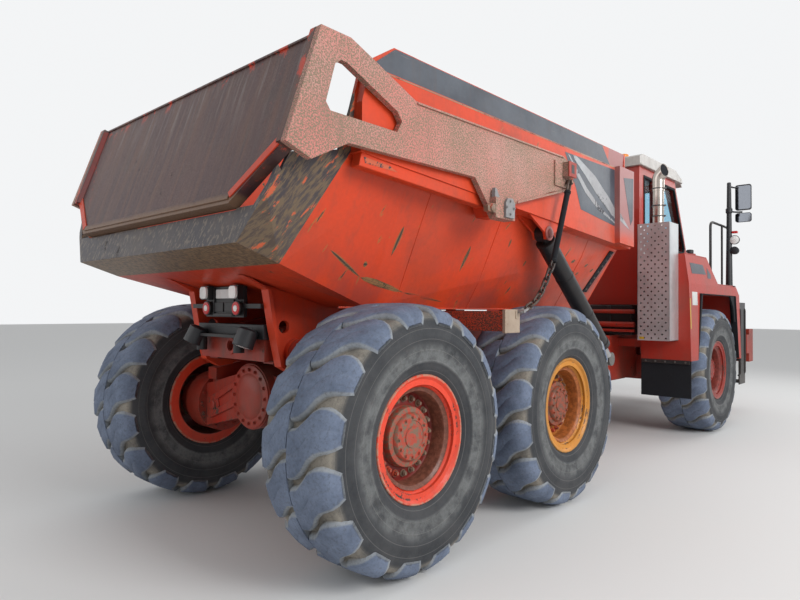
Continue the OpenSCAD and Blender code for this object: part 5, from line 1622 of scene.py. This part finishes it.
def frameInto(form, outline, wide, into, y0, y1):  # a flat frame round an outline that stands along the truck
    outer, inner = grownOutline(outline, wide), grownOutline(outline, -into)
    rings = []
    for corners, y in ((outer, y0), (outer, y1), (inner, y1), (inner, y0)):
        rings.append([place(px, y, pz) for px, pz in corners])
    ringsInto(form, rings, closed=True)


def rimInto(form, corners, half, x0, x1, side=1):  # bars round a rectangle that stands across the truck
    for first, second in zip(corners, corners[1:] + corners[:1]):
        y0, z0 = (min(pair) - half for pair in zip(first, second))
        y1, z1 = (max(pair) + half for pair in zip(first, second))
        y0, y1 = sorted((y0 * side, y1 * side))
        boxInto(form, (x0, y0, z0), (x1, y1, z1))


def screenSpot(across, share, out=0.0):  # on the sloped windscreen wall
    (topX, topZ), (lowX, lowZ) = cabShape["screen"]
    away = Vector((topZ - lowZ, 0, lowX - topX)).normalized()
    return place(topX + (lowX - topX) * share, across, topZ + (lowZ - topZ) * share) + away * out


def buildCabTrim(shape):
    seals, wipers, whites, handle, rails, amber, base = (bmesh.new() for _ in range(7))
    side, out, wide = shape["side"], shape["sealOut"], shape["sealWide"]
    for outline in (shape["rearWindow"], shape["frontWindow"]):
        frameInto(seals, outline, wide, 0.01, -side + 0.02, -side - out)
    frameInto(seals, shape["rearWindow"], wide, 0.01, side - 0.02, side + out)
    away = screenSpot(0, 0, 1.0) - screenSpot(0, 0, 0.0)

    def screenRing(reach, slip):
        return [screenSpot(sign * (shape["screenTopHalf"] + reach + 0.05 * share),
            share + (slip if share > 0.5 else -slip), 0.01) for sign, share in ((-1, 0.095), (1, 0.095),
            (1, 0.935), (-1, 0.935))]

    outer, inner = screenRing(0.03, 0.012), screenRing(-0.012, -0.01)
    rings = [[spot - away * 0.016 for spot in outer], outer, inner, [spot - away * 0.016 for spot in inner]]
    ringsInto(seals, rings, closed=True)
    rearSeal = [(-0.62, 2.45), (0.62, 2.45), (0.62, 3.28), (-0.62, 3.28)]
    rimInto(seals, rearSeal, 0.018, 4.89, 4.905)
    newPiece("windowSeals", seals, flapRubber, "front_frame", bevel=0.003)
    doorSeal = bmesh.new()
    frameInto(doorSeal, shape["doorWindow"], wide, 0.01, side - 0.02, side + out)
    newPiece("doorSeal", doorSeal, flapRubber, "cab_door", bevel=0.003)
    for across in (-0.3, 0.3):
        pivot, tip = screenSpot(across, 0.965, 0.02), screenSpot(across + 0.1, 0.45, 0.016)
        turnedInto(wipers, pivot - place(0, 0, 0) - away * 0.018, away,
            [(0, 0.022), (0.03, 0.022), (0.034, 0.016)], 16)
        blade = [screenSpot(across + 0.02, 0.82, 0.01), screenSpot(across + 0.16, 0.12, 0.01)]
        for ends, half, thick in (((pivot, tip), 0.006, 0.01), (blade, 0.007, 0.016)):
            offsets = (Vector((0, -half, 0)), Vector((0, half, 0)), away * thick)
            ringsInto(wipers, [[spot + offset for offset in offsets] for spot in ends])
    newPiece("wipers", wipers, darkPlastic, "front_frame", bevel=0.001)
    turnedInto(handle, (5.7, side - 0.001, 2.16), (0, 1, 0), [(0, 0.03), (0.006, 0.034), (0.016, 0.03)], 20)
    pipeInto(handle, [(5.64, side - 0.004, 2.23), (5.64, side + 0.05, 2.23), (5.64, side + 0.05, 2.08),
        (5.64, side - 0.004, 2.08)], 0.01, 10, 0.02)
    newPiece("doorHandle", handle, darkPlastic, "cab_door")
    for edge in (-1, 1):
        slabInto(whites, [(4.86, 3.402), (4.86, 3.425), (6.4, 3.425), (6.4, 3.402)],
            (shape["roofHalf"] - 0.002) * edge, (shape["roofHalf"] + 0.012) * edge)
        for inset in (0.2, 0.55):
            slabInto(whites, [(5.0, 3.548), (5.06, 3.566), (6.02, 3.566), (6.12, 3.548)],
                (inset - 0.03) * edge, (inset + 0.03) * edge)
    slabInto(whites, [(6.4, 3.4), (6.405, 3.462), (6.47, 3.43), (6.52, 3.375), (6.505, 3.368),
        (6.45, 3.405)], -0.8, 0.8)
    newPiece("roofTrim", whites, whitePaint, "front_frame", bevel=0.006)
    x, y, z = shape["beacon"]
    turnedInto(base, (x, y, z - 0.001), (0, 0, 1), [(0, 0.072), (0.014, 0.072), (0.018, 0.066),
        (0.018, 0.061)], 28)
    turnedInto(amber, (x, y, z + 0.017), (0, 0, 1), [(0, 0.06), (0.001, 0.0655), (0.046, 0.0645),
        (0.06, 0.0615), (0.069, 0.05), (0.0728, 0.03)], 32)
    dress("front_frame", [
        ("beaconBase", base, blackPaint, "mirror_black", 0),
        ("beaconDome", amber, amberLens, "lamp_glass", 0)])
    for edge in (-1, 1):
        backX = 6.08 if edge < 0 else 6.68  # the left rail ends ahead of the door's swing
        pipeInto(rails, [(7.0, 1.3 * edge, 1.925), (7.0, 1.3 * edge, 2.72), (6.88, 1.3 * edge, 2.78),
            (backX + 0.07, 1.3 * edge, 2.78), (backX, 1.3 * edge, 2.74), (backX, 1.3 * edge, 1.925)], 0.017,
            12, 0.05)
        if edge < 0:
            pipeInto(rails, [(6.62, 1.3 * edge, 1.925), (6.62, 1.3 * edge, 2.785)], 0.014, 10)
        for x in (7.045, 7.305):
            pipeInto(rails, [(x, 1.4 * edge, 0.64), (x, 1.43 * edge, 0.68), (x, 1.43 * edge, 1.6),
                (x, 1.4 * edge, 1.64)], 0.012, 10, 0.02)
    newPiece("handRails", rails, blackPaint, "front_frame")


buildCabTrim(cabShape)


# Mirrors: pole, arms, rounded housings with glass to the rear, lamps on the pole
mirrorShape = {
    "pole": (6.75, 1.36), "foot": 1.92, "heads": ((3.022, 3.388), (2.852, 2.983)), "headY": (1.392, 1.598),
    "headX": (6.94, 6.99), "arms": (3.352, 3.0), "lampZ": {"marker": 2.69, "lamp": 2.58, "black": 2.43},
}


def buildMirrors(shape):
    dark, glass, red, lens = (bmesh.new() for _ in range(4))
    poleX, poleY = shape["pole"]
    for side in (-1, 1):
        y = poleY * side
        turnedInto(dark, (poleX, y, shape["foot"]), (0, 0, 1), [(0, 0.075), (0.012, 0.075), (0.014, 0.046),
            (0.06, 0.044), (1.47, 0.027), (1.482, 0.022), (1.485, 0.01)], 20)
        for z in shape["arms"]:
            pipeInto(dark, [(poleX, y, z), (6.9, (poleY + 0.02) * side, z),
                (6.962, (poleY + 0.08) * side, z), (6.962, (poleY + 0.12) * side, z)], 0.012, 10, 0.03)
        turnedInto(dark, (poleX, y, 2.955), (0, 0, 1), [(0, 0.028), (0.02, 0.044), (0.07, 0.044),
            (0.09, 0.028)], 20)
        for z0, z1 in shape["heads"]:
            y0, y1 = shape["headY"]
            outline = [(py * side, pz) for py, pz in roundedOutline((y0, z0), (y1, z1), 0.03)]
            x0, x1 = shape["headX"]
            middle = ((y0 + y1) / 2 * side, (z0 + z1) / 2)

            def scaled(factor):
                return [tuple(mid + (value - mid) * factor for mid, value in zip(middle, spot))
                    for spot in outline]

            rings = [[place(x, py, pz) for py, pz in scaled(factor)] for x,
                factor in ((x0, 0.93), (x0, 1.0), (x0 + 0.03, 1.0), (x1 - 0.008, 0.93), (x1, 0.8))]
            ringsInto(dark, [[place(x0 + 0.006, py, pz) for py, pz in scaled(0.92)]] + rings)
            crossInto(glass, scaled(0.915), x0 + 0.0045, x0 + 0.0065)
        lamps = shape["lampZ"]
        out = poleY + 0.075
        markerZ = lamps["marker"]
        boxInto(red, (poleX - 0.03, (out - 0.035) * side, markerZ - 0.016),
            (poleX + 0.02, (out + 0.035) * side, markerZ + 0.016))
        turnedInto(dark, (poleX + 0.04, out * side, lamps["lamp"]), (-1, 0, 0),
            [(0, 0.03), (0.03, 0.06), (0.07, 0.066), (0.07, 0.058)], 28)
        turnedInto(lens, (poleX - 0.022, out * side, lamps["lamp"]), (-1, 0, 0),
            [(0, 0.056), (0.008, 0.0575), (0.016, 0.04), (0.019, 0.015)], 28)
        turnedInto(dark, (poleX - 0.04, out * side, lamps["black"]), (1, 0, 0),
            [(0, 0.05), (0.004, 0.056), (0.06, 0.052), (0.08, 0.03)], 28)
        for z in lamps.values():
            boxInto(dark, (poleX - 0.012, (poleY + 0.01) * side, z - 0.01),
                (poleX + 0.012, out * side, z + 0.01))
    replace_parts(newPiece("mirrorSets", dark, darkPlastic, "front_frame"), "mirrors")
    dress("front_frame", [
        ("mirrorPanes", glass, mirrorGlass, "mirror_black", 0),
        ("markerLamps", red, redLens, "lamp_glass", 0.005),
        ("poleLamps", lens, lampGlass, "lamp_glass", 0)])


buildMirrors(mirrorShape)


# Fenders: black liner round the arch, blank plates, edge bead, flap clamps, treads
fenderShape = {
    "arch": [(5.072, 0.99), (5.202, 1.788), (6.758, 1.788), (6.928, 0.91)],
    "lips": [[(5.096, 1.15), (5.196, 1.786), (5.325, 1.786), (5.196, 1.16)],
        [(6.54, 1.786), (6.76, 1.786), (6.836, 1.42), (6.77, 1.42), (6.7, 1.63)]],
    "plate": [(4.93, 2.15), (5.43, 2.15), (5.52, 2.03), (4.96, 2.02)],
    "leftPlate": [(4.93, 2.15), (5.18, 2.15), (5.27, 2.03), (4.96, 2.02)],
    "secondPlate": [(5.59, 2.12), (5.72, 2.04), (5.7, 1.985), (5.56, 1.985)],
    "label": (4.9, 5.09, 1.64, 1.8), "strip": (4.812, 4.842, 1.36, 1.72),
}


flatFenderY = 1.4401  # the widest place of the outer face that a plate lies on


def fenderY(z):  # the outer face leans in above the arch
    if z <= 1.9:
        return 1.45 - 0.03 * (z - 0.8) / 1.1
    return 1.42 - 0.05 * (z - 1.9) / 0.36


def fenderSkin(form, outline, out, side):
    faces = []
    for lift in (-0.004, out):
        faces.append([place(x, (min(fenderY(z), flatFenderY) + lift) * side, z) for x, z in outline])
    prismInto(form, *faces)


def buildFenderTrim(shape):
    liner, plates, label, strip, clamps, bead, treads = (bmesh.new() for _ in range(7))
    for side in (-1, 1):
        arch = shape["arch"]
        for first, second in zip(arch, arch[1:]):
            run = (Vector(second) - Vector(first)).normalized()
            inwards = Vector((run.y, -run.x)) * 0.01
            corners = [Vector(first), Vector(second), Vector(second) + inwards, Vector(first) + inwards]
            leg = first[1] < 1.0 or second[1] < 1.0
            innerY, outerY = (1.36, 1.4445) if leg else (1.385, 1.424)
            slabInto(liner, [tuple(c) for c in corners], innerY * side, outerY * side)
        for outline in shape["lips"]:
            slabInto(liner, outline, 1.402 * side, 1.424 * side)
        for outline in ((shape["plate"], shape["secondPlate"]) if side < 0 else (shape["leftPlate"],)):
            fenderSkin(plates, outline, 0.0022, side)
        for form, (x0, x1, z0, z1) in ((label, shape["label"]), (strip, shape["strip"])):
            fenderSkin(form, [(x0, z0), (x1, z0), (x1, z1), (x0, z1)], 0.002, side)
        boxInto(clamps, (4.792, 0.87 * side, 0.94), (4.806, 1.43 * side, 0.985))
        for z in (1.925, 2.252):
            x1 = 6.84 if z < 2 else (5.64 if side < 0 else 5.14)
            x0 = 4.83 if z > 2 else (6.0 if side < 0 else 5.5)
            slabInto(bead, [(x0, z - 0.004), (x1, z - 0.004), (x1, z + 0.006), (x0, z + 0.006)],
                (fenderY(z) - 0.03) * side, (fenderY(z) + 0.004) * side)
        for z in (0.56, 0.88, 1.2, 1.52):  # bars across each step
            for x in (7.075, 7.13, 7.185, 7.24, 7.295):
                boxInto(treads, (x - 0.008, 1.03 * side, z - 0.002), (x + 0.008, 1.4 * side, z + 0.008))
        for x in (6.08, 6.22, 6.36, 6.5, 6.64, 6.78):  # grip bars on the deck
            boxInto(treads, (x - 0.012, 0.9 * side, 1.919), (x + 0.012, 1.26 * side, 1.927))
    dress("front_frame", [
        ("archLiners", liner, flapRubber, "flap_rubber", 0.002),
        ("blankPlates", plates, bandPaint, "mirror_black", 0),
        ("blankLabels", label, platePaint, "roof_white", 0),
        ("yellowStrips", strip, yellowPaint, "rim_yellow", 0),
        ("flapClamps", clamps, blackPaint, "black_box", 0.002),
        ("fenderBeads", bead, cabPaint, "cab_paint", 0.003),
        ("stepTreads", treads, ironGrey, "step_steel", 0.001)])
    for sideName, side in bothSides:
        boltRow(f"flapBolts_{sideName}", smallBolt, (4.79, 0.92 * side, 0.962),
            Vector((0, 0.115 * side, 0)), towardsBack, 5, ironGrey, "front_frame")


yellowPaint = paintMaterial("yellowPaint", (0.62, 0.4, 0.02), (0.5, 0.33, 0.05), chips=0.2, dustAmount=0.3)
buildFenderTrim(fenderShape)


# Hood: air intake, edge rails, louvres and latches; lamps, bars and plate of the bumper
hoodShape = {"half": 0.72, "cap": (7.52, -0.6, 2.37), "louvreX": (7.25, 7.95), "louvreZ": (1.72, 2.1),
    "nose": 8.6}


def buildHoodTrim(shape):
    red, black, latches, lenses, bezels, plain, housings = (bmesh.new() for _ in range(7))
    x, y, z = shape["cap"]
    turnedInto(red, (x, y, z), (0, 0, 1), [(0, 0.085), (0.11, 0.085), (0.118, 0.078), (0.118, 0.05)], 28)
    turnedInto(black, (x, y, z + 0.117), (0, 0, 1), [(0, 0.052), (0.05, 0.056), (0.066, 0.046),
        (0.07, 0.02)], 24)
    half = shape["half"]
    length = shape["louvreX"][1] - shape["louvreX"][0]
    for sideName, side in bothSides:
        blade = bmesh.new()
        section = [(0, 0), (0.016 * side, -0.004), (0.016 * side, -0.01), (0, -0.02)]
        prismInto(blade, [(0, y, z) for y, z in section], [(length, y, z) for y, z in section])
        pattern = patternObject(f"louvreBlade_{sideName}", blade, 30)
        count = 9
        step = (shape["louvreZ"][1] - shape["louvreZ"][0]) / (count - 1)
        mesh = grownMesh("louvres", rowTree, {"Part": pattern, "Count": count,
            "Start": place(shape["louvreX"][0], (half - 0.001) * side, shape["louvreZ"][0]),
            "Step": Vector((0, 0, step)), "Turn": Vector((0, 0, 0)), "Finish": blackPaint})
        newPiece(f"hoodLouvres_{sideName}", mesh, blackPaint, "hood")
    for side in (-1, 1):
        for x in (6.86, 8.2):
            boxInto(latches, (x, (half - 0.002) * side, 1.6), (x + 0.035, (half + 0.016) * side, 1.7))
        slabInto(red, [(6.76, 2.462), (7.0, 2.446), (7.98, 2.298), (7.98, 2.312), (7.0, 2.46),
            (6.76, 2.474)], (half - 0.03) * side, (half + 0.004) * side)
    dress("hood", [
        ("hoodIntake", red, cabPaint, "cab_paint", 0.004),
        ("intakeCap", black, darkPlastic, "mirror_black", 0),
        ("hoodLatches", latches, darkPlastic, "mirror_black", 0.003)])
    nose = shape["nose"]
    for side in (-1, 1):
        slabInto(housings, [(nose - 0.0295, 1.001), (nose - 0.0215, 1.001), (nose - 0.0215, 1.179),
            (nose - 0.0295, 1.179)], 0.821 * side, 1.079 * side)
        for y in (0.885, 1.015):
            turnedInto(housings, (nose - 0.022, y * side, 1.09), (1, 0, 0),
                [(0, 0.06), (0.016, 0.062), (0.016, 0.056), (0.006, 0.05)], 32)
            turnedInto(lenses, (nose - 0.016, y * side, 1.09), (1, 0, 0),
                [(0, 0.052), (0.003, 0.0545), (0.009, 0.038), (0.011, 0.012)], 32)
        rim = [(0.812, 0.992), (1.088, 0.992), (1.088, 1.188), (0.812, 1.188)]
        rimInto(bezels, rim, 0.01, nose - 0.03, nose - 0.001, side)
        turnedInto(bezels, (nose - 0.04, 0.56 * side, 0.9), (1, 0, 0), [(0, 0.03), (0.03, 0.055),
            (0.038, 0.055), (0.0385, 0.03)], 28)
    crossInto(plain, roundedOutline((-0.26, 0.96), (0.26, 1.07), 0.01), nose - 0.004, nose - 0.0005)
    for y in (-0.42, -0.14, 0.14, 0.42):
        boxInto(bezels, (8.345, y - 0.05, 1.286), (8.52, y + 0.05, 1.2915))
    dress("front_frame", [
        ("frontLenses", lenses, lampGlass, "lamp_glass", 0),
        ("lampBezels", bezels, blackPaint, "mirror_black", 0.002)])
    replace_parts(newPiece("lampHousings", housings, darkPlastic, "front_frame", bevel=0.001),
        "lamps")
    newPiece("frontPlate", plain, platePaint, "front_frame")


buildHoodTrim(hoodShape)


# Under the cab: dark valve tank with red pipes, caps of the pivot; label of the guard
recessShape = {
    "tank": ((4.7, -0.78, 1.27), (5.0, 0.78, 1.64)), "ribs": (-0.5, 0.0, 0.5),
    "pipes": ((1.56, 0.026), (1.4, 0.034), (1.325, 0.018)),  # height and radius
    "pivotX": 4.3, "pivotTop": 1.262, "pivotLow": 0.698,
}


def buildRecess(shape):
    tank, pipes, caps, yellow = (bmesh.new() for _ in range(4))
    boxInto(tank, *shape["tank"])
    for y in shape["ribs"]:
        boxInto(tank, (4.69, y - 0.02, 1.275), (4.702, y + 0.02, 1.635))
    for z, radius in shape["pipes"]:
        pipeInto(pipes, [(4.64, -0.84, z), (4.64, 0.84, z)], radius, 14)
        for y in (-0.8, 0.0, 0.8):
            boxInto(pipes, (4.635, y - 0.02, z - 0.012), (4.705, y + 0.02, z + 0.012))
    for z, way in ((shape["pivotTop"], 1), (shape["pivotLow"], -1)):
        turnedInto(caps, (shape["pivotX"], 0, z), (0, 0, way), [(-0.002, 0.15), (0.012, 0.15),
            (0.018, 0.14), (0.018, 0.09), (0.034, 0.08), (0.036, 0.06)], 36)
    dress("front_frame", [
        ("valveTank", tank, blackPaint, "black_box", 0.006),
        ("redPipes", pipes, chassisPaint, "chassis_paint", 0),
        ("pivotCapsFront", caps, chassisPaint, "chassis_paint", 0)])
    boltRing("pivotBoltsTop", hubBolt, (shape["pivotX"], 0, shape["pivotTop"] + 0.016), Vector((0, 0, 0)),
        0.118, 8, ironGrey, "front_frame")
    boxInto(yellow, (4.4985, -1.01, 1.236), (4.5005, -0.955, 1.262))
    newPiece("guardLabel", yellow, yellowPaint, "front_frame")


buildRecess(recessShape)


# Seat: cushion and back swelled as padded cloth
seatShape = {"cushion": ((5.455, -0.24, 2.125), (5.925, 0.24, 2.225)), "back": ((5.392, -0.232, 2.25),
    (5.462, 0.232, 2.81)), "voxel": 0.006, "pressure": 4.0, "frames": 20, "cap": 0.026}


def paddedBlock(name, low, high, shape):
    form = bmesh.new()
    boxInto(form, low, high)
    bmesh.ops.subdivide_edges(form, edges=form.edges[:], cuts=5, use_grid_fill=True)
    piece = newPiece(name, form, seatCloth, "front_frame")
    scene = bpy.context.scene
    bpy.context.view_layer.objects.active = piece
    remesh = piece.modifiers.new("even", "REMESH")
    remesh.mode, remesh.voxel_size = "VOXEL", (shape["voxel"] * 1.6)
    remesh.use_smooth_shade = True
    bpy.ops.object.modifier_apply(modifier=remesh.name)
    start = [vertex.co.copy() for vertex in piece.data.vertices]
    cloth = piece.modifiers.new("swell", "CLOTH")
    cloth.settings.use_pressure = True
    cloth.settings.uniform_pressure_force = shape["pressure"]
    cloth.settings.effector_weights.gravity = 0
    cloth.point_cache.frame_start, cloth.point_cache.frame_end = 1, shape["frames"]
    for number in range(1, shape["frames"] + 1):
        scene.frame_set(number)
    bpy.ops.object.modifier_apply(modifier=cloth.name)
    scene.frame_set(1)
    for vertex, origin in zip(piece.data.vertices, start):
        move = vertex.co - origin
        if move.length > shape["cap"]:
            vertex.co = origin + move.normalized() * shape["cap"]
    middle = (place(*low) + place(*high)) / 2
    size = place(*high) - place(*low)
    for vertex in piece.data.vertices:  # sewn channels across the pad
        offset = vertex.co - middle
        lengthways = offset.z if size.z > size.x else offset.x
        channel = math.exp(-((lengthways / 0.075) % 1 - 0.5) ** 2 / 0.006)
        vertex.co -= offset.normalized() * 0.006 * channel
    piece.data.shade_smooth()
    return piece


paddedBlock("seatCushion", *seatShape["cushion"], seatShape)
paddedBlock("seatBack", *seatShape["back"], seatShape)


def buildSeatFrame():
    form = bmesh.new()
    boxInto(form, (5.48, -0.17, 1.715), (5.88, 0.17, 1.76))
    for level in range(6):  # bellows of the suspension
        inset = 0.012 if level % 2 else 0.0
        boxInto(form, (5.5 + inset, -0.15 + inset, 1.76 + level * 0.05),
            (5.86 - inset, 0.15 - inset, 1.812 + level * 0.05))
    boxInto(form, (5.46, -0.2, 2.06), (5.9, 0.2, 2.112))
    for side in (-1, 1):
        boxInto(form, (5.44, 0.262 * side, 2.33), (5.76, 0.312 * side, 2.375))
        boxInto(form, (5.44, 0.255 * side, 2.12), (5.48, 0.285 * side, 2.372))
    boxInto(form, (5.374, -0.15, 2.12), (5.392, 0.15, 2.78))
    boxInto(form, (5.392, -0.13, 2.84), (5.45, 0.13, 2.93))
    return newPiece("seatFrame", form, darkPlastic, "front_frame", bevel=0.008)


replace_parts(buildSeatFrame(), "seat")
print("exhaust, cab, mirrors, fenders, hood and seat dressed")


# Floor, lamps and world
stageSetup = {"floorShade": (0.72, 0.72, 0.71), "skyShade": (0.93, 0.94, 0.96), "skyStrength": 0.6,
    "lamps": [("keyLamp", (1.5, -11.0, 6.5), 900.0, 5.0), ("fillLamp", (-9.0, 5.0, 5.0), 200.0, 7.0),
    ("frontLamp", (12.0, -3.0, 7.0), 240.0, 6.0)]}


def buildStage(setup):
    mesh = bpy.data.meshes.new("studioFloor")
    reach = 60.0
    mesh.from_pydata([(-reach, -reach, 0), (reach, -reach, 0), (reach, reach, 0), (-reach, reach, 0)], [],
        [(0, 1, 2, 3)])
    floor = inScene("studioFloor", mesh)
    material, tree, shader = newMaterial("studioFloor")
    shader.inputs["Base Color"].default_value = colour(setup["floorShade"])
    shader.inputs["Roughness"].default_value = 0.9
    mesh.materials.append(material)
    world = bpy.data.worlds.new("studio")
    world.use_nodes = True
    bpy.context.scene.world = world
    tree = world.node_tree
    tree.nodes.clear()
    path = addNode(tree, "ShaderNodeLightPath")
    soft = addNode(tree, "ShaderNodeBackground", {"Color": colour(setup["skyShade"]),
        "Strength": setup["skyStrength"]})
    backdrop = addNode(tree, "ShaderNodeBackground", {"Color": (0.9, 0.91, 0.92, 1.0), "Strength": 1.0})
    seen = mathNode("MAXIMUM", path.outputs["Is Camera Ray"], path.outputs["Is Glossy Ray"])
    seen = mathNode("MAXIMUM", seen, path.outputs["Is Transmission Ray"])
    mixed = addNode(tree, "ShaderNodeMixShader", {0: seen, 1: soft.outputs[0], 2: backdrop.outputs[0]})
    end = addNode(tree, "ShaderNodeOutputWorld")
    tree.links.new(mixed.outputs[0], end.inputs["Surface"])
    for name, spot, power, size in setup["lamps"]:
        data = bpy.data.lights.new(name, "AREA")
        data.energy = power
        data.size = size
        lamp = inScene(name, data)
        lamp.location = place(*spot)
        lamp.rotation_mode = "QUATERNION"
        lamp.rotation_quaternion = (place(2.5, 0, 1.4) - lamp.location).to_track_quat("-Z", "Y")


buildStage(stageSetup)
print("stage set")

for pattern in patterns:
    bpy.data.objects.remove(pattern)
